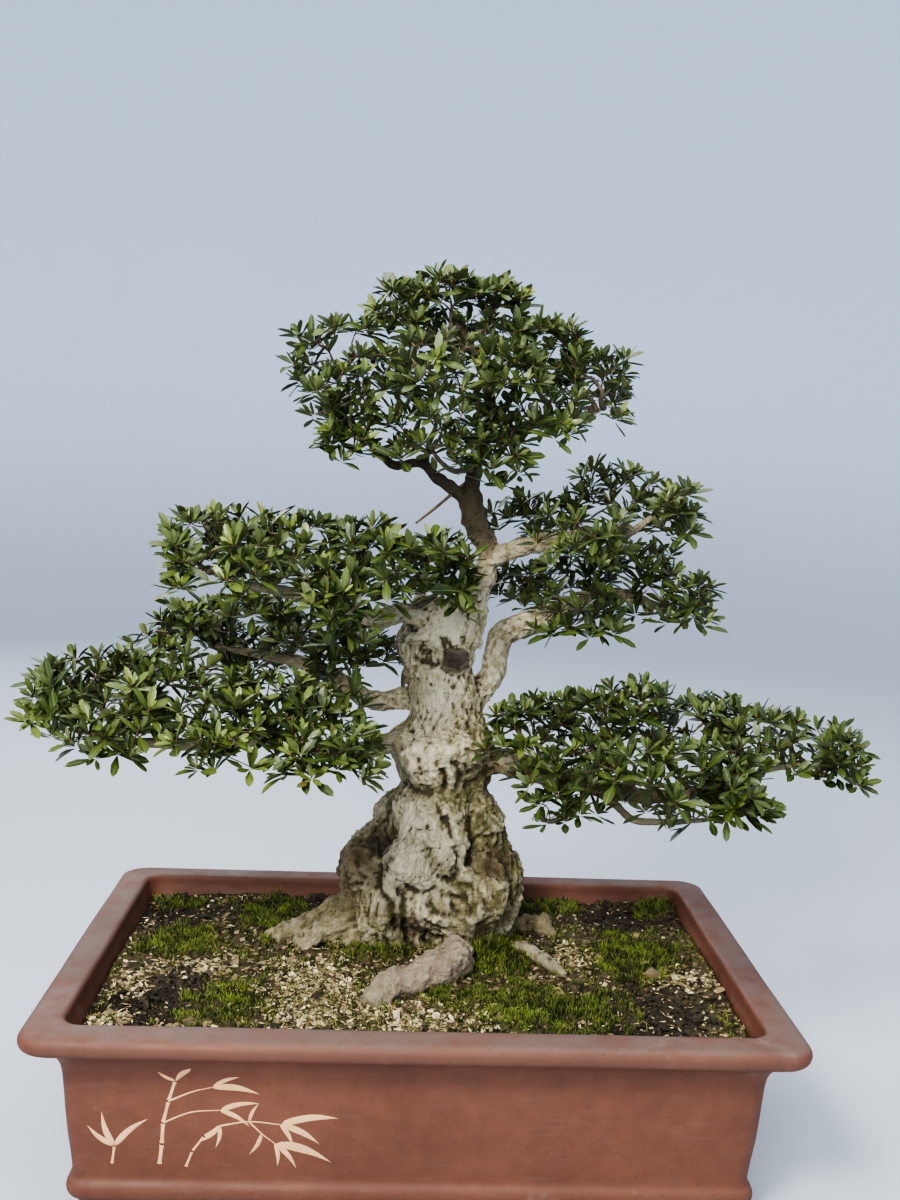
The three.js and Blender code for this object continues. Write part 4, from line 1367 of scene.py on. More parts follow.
@dataclass
class SoilBed:
    """The soil with its moss cushions, grit and litter."""

    seed: int = 23
    level: float = 143.0
    half: Array = field(default_factory=lambda: np.array([264.6, 164.6]))
    corner: float = 10.0
    pitch: float = 2.5
    grains: int = 9400
    tufts: int = 26000
    straws: int = 2800
    walls: tuple = ((0.93, 26.4), (0.955, 31.0), (0.975, 112.0), (0.985, 132.0))
    grain_corners: tuple = ((1, 0, 0), (-1, 0, 0), (0, 1, 0), (0, -1, 0), (0, 0, 1), (0, 0, -1))
    grain_faces: tuple = ((0, 2, 4), (2, 1, 4), (1, 3, 4), (3, 0, 4),
                          (2, 0, 5), (1, 2, 5), (3, 1, 5), (0, 3, 5))
    straw_faces: tuple = ((0, 2, 3), (0, 3, 1), (0, 1, 2), (4, 3, 2), (4, 1, 3), (4, 2, 1))
    tuft_faces: tuple = ((0, 1, 3), (1, 2, 3), (2, 0, 3))

    def __post_init__(self) -> None:
        """Starts the bed's noise and draws."""
        self.noise = Noise(self.seed)
        self.random = np.random.default_rng(self.seed)

    def cover(self, kind: Cover, flat: Array) -> Array:
        """How much of one cover lies at each place.

        Args:
            kind: The cover.
            flat: The places, as x and y.

        Returns:
            A number from 0 to 1 for each.
        """
        ragged = 0.7 * self.noise.layered(raised(flat) / 27.0 + len(kind.value), 5, 0.72)
        most = np.zeros(len(flat))
        for x, y, rx, ry in PATCHES[kind]:
            away = np.linalg.norm((flat - (x, y)) / (rx, ry), axis=1)
            most = np.maximum(most, smoothstep(1.1, 0.85, away + ragged))
        return most

    def hummock(self, flat: Array) -> Array:
        """How far the moss heaps up against the right of the trunk's foot."""
        return 7.0 * np.exp(-0.5 * (((flat - (58, 24)) / (15, 20)) ** 2).sum(axis=1))

    def height(self, flat: Array) -> Array:
        """The height of the soil's crumbly surface.

        Args:
            flat: The places, as x and y.

        Returns:
            The height at each.
        """
        x, y = flat.T
        place = raised(flat)
        away = smoothstep(1.0, 1.5, np.hypot(x / 185, (y - 40) / 160))
        level = self.level + 0.8 * away + self.hummock(flat) + 2.2 * away * (np.sin(x / 31) + np.cos(y / 37))
        moss = self.cover(Cover.MOSS, flat)
        cushions, crumbs, clods = (self.noise.spot_gap(place / pitch + shift)
                                   for pitch, shift in ((12.0, 0.0), (4.2, 5.0), (6.5, 9.0)))
        mound = moss * (1.6 + 4.4 * np.clip(0.9 - cushions, 0, 1))
        crumble = 1.5 * (0.6 - crumbs) + self.cover(Cover.HUMUS, flat) * 3.0 * (0.7 - clods)
        return level + 1.3 * self.noise.layered(place / 30.0, 4) + mound + (1 - moss) * crumble

    def build_ground(self, soil: Material) -> None:
        """Builds the ground as a closed block that fills the pot.

        Args:
            soil: Its material.
        """
        columns, rows = (round(2 * reach / self.pitch) + 1 for reach in self.half)
        x, y = np.meshgrid(np.linspace(-1, 1, columns), np.linspace(-1, 1, rows))
        flat = np.column_stack([x.ravel(), y.ravel()]) * self.half
        beyond = np.maximum(np.abs(flat) - (self.half - self.corner), 0) * np.sign(flat)
        both = (np.abs(beyond) > 0).all(axis=1)[:, None]
        rounding = np.abs(beyond).max(axis=1, keepdims=True) * unit(beyond)
        flat = np.where(both, flat - beyond + rounding, flat)
        height = self.height(flat)
        # The level drives painted shade in the soil's low places and painted light on its high ones.
        level = 0.5 + 0.16 * (height - self.level) + 0.2 * self.noise.layered(raised(flat) / 6.0, 3)
        index = np.arange(rows * columns).reshape(rows, columns)
        quarters = (index[:-1, :-1], index[:-1, 1:], index[1:, 1:], index[1:, :-1])
        a, b, c, d = (part.ravel() for part in quarters)
        draft = Draft(("moss", "humus", "grit", "level"))
        covers = {kind.value: self.cover(kind, flat) for kind in Cover}
        draft.add(raised(flat, height), np.vstack([np.column_stack([a, b, c]), np.column_stack([a, c, d])]),
                  level=level, **covers)
        rim = np.concatenate([index[0, :-1], index[:-1, -1], index[-1, :0:-1], index[:0:-1, 0]])
        walls = [raised(flat[rim] * share, z) for share, z in self.walls] + [raised(flat[rim], height[rim])]
        middles = np.full((2, 3), (0.0, 0.0, self.walls[0][1]))
        draft.add(np.vstack([*walls, middles]), skin(len(walls), len(rim))[: -len(rim)], level=0.4)
        settle(weld(draft.build("soil_ground", soil)), "potting_soil", "soil")

    def scatter(self, count: int) -> Array:
        """Random places on the soil."""
        return self.random.uniform(2 - self.half, self.half - 2, (count, 2))

    def pick(self, likely: Array, count: int) -> Array:
        """Draws the numbers of no more than count places by how likely each is."""
        return np.flatnonzero(self.random.random(len(likely)) < likely)[:count]

    @staticmethod
    def strew(name: str, material: Material, shapes: Array, faces: Any, smooth: bool = False,
              **values: Array) -> None:
        """Builds many small things of one kind as one piece.

        Args:
            name: The piece's name.
            material: Its material.
            shapes: The corners, in an array of things by corners by 3.
            faces: The triangles of one thing, or those of each.
            smooth: Whether it is shaded smooth.
            values: The surface values, one for each corner, or one for each thing.
        """
        count, size = shapes.shape[:2]
        draft = Draft(tuple(values))
        spread = {key: np.repeat(value, count * size // len(value)) for key, value in values.items()}
        draft.add(shapes.reshape(-1, 3), copies(np.array(faces), size, count), **spread)
        settle(draft.build(name, material, smooth=smooth), "potting_soil")

    def build_grit(self, grit: Material) -> None:
        """Scatters angular grains, thick and pale on the gritty patches and sparse elsewhere.

        Args:
            grit: Their material.
        """
        flat = self.scatter(self.grains * 4)
        moss, humus, pale = (self.cover(kind, flat) for kind in Cover)
        likely = np.clip(0.3 + 0.7 * pale - 0.28 * moss + 0.5 * humus, 0.02, 1)
        keep = self.pick(likely, self.grains)
        flat, humus, pale = flat[keep], humus[keep], pale[keep]
        count = len(flat)
        light = self.random.random(count) < 0.2 + 0.3 * pale - 0.16 * humus
        size = self.random.lognormal(0.2, 0.45, count) * np.where(light, 1.0 + 0.2 * pale, 1.4)
        tone = np.where(light, self.random.uniform(0.6, 1.0, count), self.random.uniform(0.0, 0.55, count))
        tone *= np.where(light, 1.0, 1 - 0.8 * humus)
        turns = unit(self.random.normal(size=(count, 3, 3)))
        lumps = np.array(self.grain_corners, float) * self.random.uniform(0.65, 1.25, (count, 6, 1))
        lumps = np.einsum("nij,njk->nik", lumps, turns) * size[:, None, None]
        lumps[:, :, 2] *= 0.75
        lumps += raised(flat, self.height(flat) + 0.35 * size)[:, None]
        faces = np.array(self.grain_faces)
        faces = np.where((np.linalg.det(turns) < 0)[:, None, None], faces[:, ::-1], faces)
        self.strew("grit_grains", grit, lumps, faces, tone=tone)

    def build_litter(self, litter: Material) -> None:
        """Scatters straw-coloured fibres and bits of twig over the open soil.

        Args:
            litter: Their material.
        """
        flat = self.scatter(self.straws * 4)
        moss, pale = self.cover(Cover.MOSS, flat), self.cover(Cover.GRIT, flat)
        flat = flat[self.pick(0.12 + 0.88 * pale - 0.1 * moss, self.straws)]
        count = len(flat)
        length = self.random.uniform(3.0, 10.0, count)
        heading = self.random.uniform(0, 2 * np.pi, count)
        tilt = self.random.normal(0, 0.16, count)
        thick = self.random.uniform(0.35, 1.4, count)
        ahead = np.column_stack([np.cos(heading), np.sin(heading), tilt])
        side = raised(np.column_stack([-np.sin(heading), np.cos(heading)])) * thick[:, None]
        middle = raised(flat, self.height(flat) + 0.9)
        half = ahead * (length / 2)[:, None]
        belly = middle - half * 0.2
        corners = [middle - half, belly + side, belly - side, belly + (0, 0, 0.6), middle + half]
        tone = self.random.uniform(0.1, 1.0, count)
        self.strew("straw_litter", litter, np.stack(corners, axis=1), self.straw_faces, tone=tone)

    def build_moss(self, moss: Material) -> None:
        """Stands short leaning tufts close together on the moss cushions.

        Args:
            moss: Their material.
        """
        flat = self.scatter(self.tufts * 5)
        open_soil = self.noise.smooth(raised(flat, flat[:, 0]) / 26.0) > -0.1
        thin = 0.2 * (1 - self.cover(Cover.HUMUS, flat)) * open_soil
        likely = np.maximum(self.cover(Cover.MOSS, flat), thin)
        flat = flat[self.pick(likely, self.tufts)]
        count = len(flat)
        foot = raised(flat, self.height(flat) - 0.8)
        angle = self.random.uniform(0, 2 * np.pi, count)
        tall = self.random.lognormal(1.5, 0.32, count) * (1 + 0.16 * self.hummock(flat))
        tip = foot + raised(self.random.normal(0, 0.42, (count, 2)), 1.0) * tall[:, None]
        wide = self.random.uniform(0.55, 1.0, count)
        ring = [foot + np.column_stack([wide * np.cos(angle + turn), wide * np.sin(angle + turn), 0 * wide])
                for turn in (0.0, 2.1, 4.2)]
        tone = self.random.random(count)
        place = raised(flat)
        clumps = self.noise.spot_gap(place / 12.0) + 0.5 * self.noise.smooth(place / 5.0 + 7.0)
        lit = smoothstep(0.72, 0.34, clumps + self.random.normal(0, 0.1, count))
        rise = np.tile([0.0, 0.0, 0.0, 1.0], count)
        tufts = np.stack([*ring, tip], axis=1)
        self.strew("moss_cushions", moss, tufts, self.tuft_faces, smooth=True, tone=tone, lit=lit, rise=rise)


@dataclass(frozen=True)
class Limb:
    """A limb or root as a smooth route and the radii along it."""

    route: tuple
    radii: tuple
    root: bool = False

    def line(self, spacing: float) -> tuple[Array, Array]:
        """Even points along the limb and the radius at each."""
        points = smooth_route(list(self.route), spacing)
        return points, spread_radii(list(self.radii), len(points))


class Tint(Enum):
    """A local colour of the bark."""

    PALE = "pale"
    DARK = "dark"
    RUST = "rust"
    GREEN = "green"
    FLESH = "flesh"


LIMBS = {
    "leader": Limb(
        ((28, 72, 428), (43, 71, 470), (53, 70, 490), (53, 70, 514), (43, 70, 532), (34, 70, 561)),
        (24, 19, 11.5, 9.5, 12, 10.5)),
    "crown_stem": Limb(
        ((34, 70, 553), (39, 66, 593), (43, 60, 613), (49, 58, 638), (42, 60, 673), (20, 60, 710)),
        (9, 7, 6.5, 5.5, 4, 2.6)),
    "crown_left": Limb(
        ((32, 70, 557), (2, 60, 577), (-10, 54, 588), (-37, 46, 586), (-55, 42, 604), (-84, 35, 624)),
        (7, 5.5, 4.5, 4, 3.2, 2.2)),
    "crown_right": Limb(
        ((43, 61, 612), (64, 55, 617), (85, 55, 626), (126, 58, 632), (152, 60, 644)),
        (6, 5.5, 5, 3.8, 2.2)),
    "crown_back": Limb(
        ((42, 64, 618), (44, 95, 636), (40, 130, 656), (58, 150, 678)), (5.5, 4.5, 3.5, 2.2)),
    "left_upper": Limb(
        ((14, 66, 444), (-25, 45, 453), (-45, 33, 448), (-64, 23, 451), (-110, 5, 470), (-162, 0, 479),
        (-196, -5, 492)), (13, 10, 9.5, 8, 5.5, 4, 2.4)),
    "left_middle": Limb(
        ((10, 75, 370), (-18, 82, 368), (-48, 97, 362), (-76, 117, 373), (-120, 130, 391), (-180, 138, 399),
        (-206, 138, 405)), (12, 10, 9, 8.5, 6.2, 4.6, 2.8)),
    "left_lower": Limb(
        ((5, 66, 332), (-24, 54, 332), (-57, 30, 329), (-104, 5, 338), (-127, 0, 347), (-165, -10, 341),
        (-254, -25, 344), (-292, -29, 352)), (11, 8.5, 7.5, 6.5, 6, 5.4, 4, 2.3)),
    "right_upper": Limb(
        ((48, 70, 494), (63, 65, 506), (83, 55, 516), (123, 50, 525), (150, 61, 531), (182, 70, 531),
        (206, 80, 546)), (9, 9, 8.5, 6.5, 5.5, 4.4, 2.6)),
    "right_middle": Limb(
        ((40, 79, 360), (64, 85, 396), (67, 91, 417), (74, 97, 430), (118, 110, 446), (150, 120, 460),
        (190, 130, 467), (246, 130, 451)), (14, 12, 11.5, 12.5, 10.5, 8, 5.6, 2.8)),
    "right_lower": Limb(
        ((46, 68, 313), (70, 55, 317), (94, 45, 313), (162, 30, 302), (208, 28, 294), (254, 29, 301),
        (310, 30, 320), (346, 29, 328)), (14, 12.5, 11, 8, 6.8, 5.6, 3.5, 2.3)),
    "right_lower_twig": Limb(
        ((150, 31, 303), (172, 16, 291), (190, 8, 278), (226, 4, 278), (262, 4, 281)),
        (4.5, 4, 3.6, 3, 2.2)),
    "right_lower_spur": Limb(
        ((152, 28, 301), (136, 12, 284), (116, 5, 275), (101, 1, 282)), (4, 3.4, 2.8, 2)),
}
ROOTS = {
    "left": Limb(
        ((-28, 70, 176), (-62, 62, 167), (-94, 54, 157), (-120, 49, 150), (-138, 45, 144)),
        (32, 23, 14, 10, 6), True),
    "left_front": Limb(
        ((-46, 62, 172), (-76, 46, 160), (-97, 35, 152), (-109, 29, 144)), (22, 15, 10, 6), True),
    "left_foot": Limb(
        ((-36, 60, 160), (-56, 42, 152), (-66, 32, 144)), (18, 11, 5), True),
    "front": Limb(
        ((20, 40, 137), (31, 14, 140), (33, -12, 153), (26, -34, 156), (3, -56, 154), (-24, -70, 151),
        (-42, -93, 146)), (9, 9, 16.5, 16.5, 14, 12.5, 8), True),
    "right_knob": Limb(
        ((62, 84, 152), (84, 94, 152), (100, 88, 148), (114, 90, 151), (134, 72, 144)),
        (16, 10, 6.5, 8, 3), True),
    "right_pale": Limb(
        ((64, 66, 140), (86, 44, 140), (97, 30, 147), (112, 6, 147.5), (131, -25, 144.5)),
        (8, 6, 6.5, 6.5, 3), True),
    "back_left": Limb(
        ((-30, 100, 156), (-62, 122, 152), (-86, 136, 145)), (18, 11, 5), True),
    "back_right": Limb(
        ((48, 106, 156), (76, 128, 152), (98, 142, 145)), (17, 11, 5), True),
}
STUBS = (
    Limb(((28, 74, 420), (27.5, 50, 415), (27, 32, 411)), (13, 12, 11)),
    Limb(((-8, 60, 336), (-26, 58, 336), (-36, 61, 334), (-46, 64, 331)), (11, 7, 4, 1.6)),
    Limb(((-10, 66, 404), (-18, 62, 393), (-21, 60, 382)), (7, 5, 2)),
    Limb(((26, 52, 305), (27, 40, 302)), (8, 5.5)),
)
# The trunk at each height: height, its middle along x, half breadth and half depth.
ROWS = (
    (134, 9, 82, 50), (160, 10, 83, 53), (185, 11, 82, 52), (213, 12, 80, 51), (232, 9, 73, 48),
    (248, 15, 60, 44), (271, 16, 53, 40), (287, 21, 40, 34), (300, 22, 43, 36), (322, 18, 48, 40),
    (336, 17, 47, 38), (352, 21, 35, 31), (379, 18, 33, 28), (400, 12, 32, 28), (421, 11, 35, 29),
    (446, 16, 33, 27), (460, 16, 27, 23),
)
# Round swellings and hollows of the trunk: degrees round it, height, size and rise.
BURLS = (
    (-95, 236, 27, 9), (-38, 200, 20, 11), (-52, 178, 17, 8), (-150, 214, 19, 10), (-70, 208, 14, -7),
    (-84, 150, 15, -17), (-122, 326, 18, 8), (-42, 334, 17, 7), (-64, 300, 14, -6), (-108, 414, 13, -8),
    (-70, 408, 11, 7), (60, 220, 28, 11), (118, 184, 24, 12), (95, 312, 20, 9), (100, 410, 17, 7),
    (150, 258, 18, 7), (82, 262, 17, -8), (-124, 178, 16, 8), (-104, 196, 12, -6), (-20, 262, 14, 6),
    (-76, 276, 12, 5), (30, 176, 18, 9),
)
# Oval ones: degrees round the trunk, height, half width, half height and rise.
CARVING = (
    (-121, 416, 6, 7, -9), (-121, 430, 12, 7, 4), (-132, 410, 7, 11, 3), (-163, 424, 14, 12, 6),
    (-158, 336, 9, 8, 6), (-120, 333, 13, 11, 5), (-80, 335, 12, 10, 5), (-52, 330, 11, 11, 5),
    (-82, 301, 7, 8, 6), (-110, 310, 11, 10, 5), (-128, 305, 10, 9, 4), (-106, 276, 9, 14, 4),
    (-113, 256, 9, 16, 6), (-120, 232, 11, 17, 7), (-127, 206, 12, 16, 6), (-74, 247, 15, 13, 7),
    (-101, 262, 2.5, 3, -5), (-84, 265, 3, 3.5, -5), (-92, 238, 4, 9, -3), (-160, 253, 12, 12, -9),
    (-147, 236, 9, 15, -11), (-142, 208, 6, 12, -8), (-171, 274, 9, 8, -5), (-166, 226, 10, 9, 7),
    (-172, 208, 9, 9, 6), (-48, 238, 5, 18, -9), (-46, 262, 5, 12, -6), (-28, 242, 7, 26, 6),
    (-12, 228, 7, 22, 6), (-40, 206, 9, 12, 5), (-24, 205, 4, 12, -6), (-81, 199, 9, 8, 5),
    (-57, 208, 10, 9, 5), (-51, 184, 9, 8, 5), (-82, 176, 9, 8, 5), (-97, 184, 8, 8, 4),
    (-34, 186, 9, 8, 5), (-66, 165, 9, 8, 5), (-66, 190, 4, 7, -6), (-90, 190, 4, 8, -5),
    (-44, 196, 4, 7, -5), (-114, 205, 7, 8, -9), (-107, 158, 11, 13, -15), (-92, 150, 8, 10, -12),
    (-124, 176, 8, 11, 6), (-136, 160, 8, 9, 6), (-20, 180, 5, 14, -6), (-8, 190, 9, 12, 6),
    (8, 214, 10, 14, 6), (16, 240, 6, 20, -6), (40, 262, 10, 18, 6), (75, 240, 6, 22, -8),
    (100, 236, 13, 18, 7), (128, 214, 6, 20, -8), (142, 190, 12, 14, 8), (166, 188, 7, 16, -7),
    (60, 300, 12, 12, 6), (128, 300, 11, 10, 6), (90, 340, 12, 12, 6), (40, 340, 9, 12, 5),
    (140, 352, 5, 16, -5), (70, 372, 5, 20, -4), (110, 384, 8, 18, 4), (60, 428, 10, 12, 5),
)
# Clefts in the trunk's front: width, depth and a line of places as x and height.
CLEFTS = (
    (2.2, 3.0, ((13, 431), (16, 415), (13, 405))), (2.0, 2.6, ((16, 431), (23, 423), (31, 421))),
    (2.6, 3.0, ((-16, 426), (-12, 416), (-3, 407), (9, 407))),
    (2.4, 3.4, ((-21, 331), (-9, 340), (-13, 349))), (3.0, 7.5, ((17, 312), (22, 302), (19, 294))),
    (2.4, 3.4, ((27, 320), (36, 308), (33, 295))), (3.0, 3.6, ((-16, 293), (-4, 289), (8, 290))),
    (3.0, 3.2, ((40, 294), (50, 299), (57, 306))), (2.2, 1.8, ((-2, 351), (3, 338), (1, 327))),
    (2.4, 3.0, ((41, 355), (47, 339), (37, 326))), (2.2, 2.6, ((-11, 327), (-1, 320), (-3, 307))),
    (3.6, 6.5, ((-28, 236), (-35, 217), (-38, 203), (-26, 193), (-23, 179), (-18, 164))),
    (3.2, 5.0, ((-40, 242), (-34, 229))), (3.4, 5.5, ((-17, 201), (-12, 185), (-15, 175))),
    (3.4, 6.0, ((-13, 173), (-7, 149), (-2, 140))),
    (2.8, 4.5, ((14, 277), (23, 265), (31, 251), (36, 236), (34, 219), (25, 212))),
    (2.4, 3.4, ((22, 212), (39, 209), (54, 207))), (2.4, 3.4, ((25, 200), (43, 197), (46, 186))),
    (2.4, 3.2, ((14, 185), (29, 180), (41, 186))), (2.4, 3.4, ((44, 227), (46, 244), (55, 251))),
    (2.4, 3.4, ((61, 249), (67, 236), (63, 219))), (2.2, 2.8, ((73, 231), (80, 217))),
    (2.2, 2.8, ((50, 201), (63, 195))), (2.4, 3.4, ((6, 176), (18, 168), (33, 170))),
    (2.2, 2.6, ((-9, 205), (3, 201), (14, 204))), (2.4, 3.6, ((-64, 233), (-53, 236), (-41, 235))),
    (2.4, 3.6, ((-55, 230), (-57, 216), (-49, 207))), (2.4, 3.4, ((-46, 204), (-63, 200))),
    (2.6, 3.8, ((-31, 267), (-33, 252), (-27, 238))), (2.4, 3.2, ((54, 269), (60, 257), (67, 249))),
    (2.4, 3.4, ((4, 161), (15, 156), (30, 159))),
)
# Local colours of the bark: a place and how far the colour spreads.
TINTS = {
    Tint.PALE: (
        (17, 47, 444, 15), (24, 28, 246, 15), (-8, 33, 262, 14), (-13, 25, 226, 18), (-26, 26, 200, 13),
        (4, 26, 206, 11), (-25, 54, 336, 8), (-3, 36, 334, 10), (10, 44, 372, 13), (24, 42, 432, 8),
        (-47, -98, 148, 7), (104, 18, 150, 18), (120, -10, 148, 14), (-42, -92, 147, 12), (34, -4, 162, 10),
    ),
    Tint.DARK: (
        (-8, 46, 416, 3), (-38, 46, 240, 13), (-34, 60, 272, 8), (47, 32, 240, 5), (46, 34, 256, 4),
        (-3, 24, 152, 10), (9, 24, 148, 8), (8, 32, 262, 2), (20, 32, 265, 2.4), (-24, 60, 386, 6),
        (30, 24, 190, 3.5), (58, 30, 196, 4), (104, 20, 155, 2.5), (112, 4, 154, 2.2), (96, 30, 152, 2.6),
        (119, -6, 151, 2.4), (106, 10, 149, 2.6), (-23, 58, 386, 4),
    ),
    Tint.RUST: (
        (-57, 46, 222, 19), (-64, 52, 202, 19), (-50, 42, 246, 9), (-2, 20, 166, 9), (66, 38, 222, 14),
        (46, 30, 176, 8), (-46, 62, 332, 5), (60, 30, 178, 15), (40, 30, 300, 6), (92, 90, 152, 14),
        (118, 86, 152, 14), (74, 60, 318, 14), (96, 45, 313, 14), (124, 38, 308, 15), (150, 30, 302, 15),
        (180, 20, 296, 15), (208, 28, 294, 15), (226, 4, 278, 12), (128, 10, 282, 12),
    ),
    # Olive moss on the bark; the spots on the trunk's right side, waist, foot and left roots also stand in
    # for painted shade.
    Tint.GREEN: (
        (38, 40, 284, 16), (54, 42, 262, 22), (70, 46, 236, 24), (84, 50, 212, 24), (60, 30, 186, 23),
        (46, 26, 204, 15), (66, 34, 250, 18), (56, 52, 300, 16), (-60, 40, 176, 16), (-20, 18, 176, 12),
        (-84, 48, 160, 14), (-42, 34, 168, 15), (12, 34, 284, 11), (-17, 44, 374, 9), (-96, 52, 156, 16),
        (-72, 56, 166, 19), (-120, 46, 148, 12), (40, 120, 200, 40), (-30, 110, 190, 34), (40, 60, 345, 14),
    ),
    Tint.FLESH: (
        (31, -20, 157, 12), (14, -50, 155, 20), (-10, -63, 153, 20), (-30, -76, 150, 10),
    ),
}
# Single shoots that stand out of a spray: where they end.
LOOSE_SHOOTS = {
    "spray_left_upper_6": ((-28, 2, 494), (-22, 8, 480), (-36, -8, 484)),
    "spray_left_upper_7": ((-8, 14, 492), (4, 10, 486), (-4, 16, 504), (8, 12, 498), (8, 20, 476),
        (20, 26, 478), (-6, 22, 474)),
    "spray_crown_stem_4": ((10, 4, 652), (22, 10, 656), (-2, -2, 650)),
    "spray_crown_stem_6": ((-4, 6, 640), (12, 8, 636), (26, 12, 642)),
    "spray_crown_stem_7": ((48, 4, 576), (62, 8, 574), (74, 14, 584)),
    "spray_left_lower_2": ((-262, 36, 404), (-246, 22, 402), (-276, 30, 400)),
    "spray_left_lower_3": ((-254, -44, 338),),
    "spray_left_lower_4": ((-236, -16, 404), (-222, 6, 408), (-206, -20, 404), (-212, 22, 412),
        (-190, 0, 406)),
    "spray_left_middle_1": ((-262, 98, 418), (-276, 100, 408), (-250, 84, 410), (-236, 92, 402)),
    "spray_left_lower_7": ((-46, 2, 338),),
    "spray_right_lower_3": ((91, -8, 324), (109, 0, 296), (132, 4, 281), (157, 4, 286),
        (146, -10, 313), (114, -20, 337)),
    "spray_right_lower_5": ((175, -10, 300), (197, -6, 291), (216, -12, 302), (184, -40, 326)),
    "spray_right_lower_twig_1": ((240, 4, 281), (224, 6, 286)),
}
# How far a spray's leaves stay inside its node: left, right, below and above.
ROOMS = {
    "spray_left_upper_1": (44, 4, 18, 14), "spray_left_upper_2": (28, 4, 8, 14),
    "spray_left_upper_3": (22, 4, 16, 14), "spray_left_upper_5": (16, 8, 20, 14),
    "spray_left_upper_7": (8, 26, 8, 14), "spray_left_lower_1": (34, 4, 12, 14),
    "spray_left_middle_1": (10, 6, 6, 20), "spray_left_middle_2": (12, 8, 8, 18),
    "spray_left_lower_8": (16, 10, 50, 12), "spray_left_lower_3": (18, 6, 36, 12),
    "spray_left_lower_5": (14, 8, 28, 12), "spray_right_lower_3": (8, 14, 20, 14),
    "spray_right_lower_7": (6, 20, 36, 12), "spray_right_lower_twig_1": (6, 22, 34, 8),
    "spray_right_lower_9": (6, 30, 38, 16), "spray_right_middle_4": (6, 30, 18, 14),
    "spray_right_middle_5": (8, 16, 18, 14), "spray_crown_right_2": (6, 28, 12, 14),
}
# The share of young whorls and the number of shoots of the sprays with that word in their names.
LOOKS = {
    "right_lower": (0.08, 28), "right": (0.22, 23), "crown": (0.24, 20), "left_middle": (0.2, 28),
}


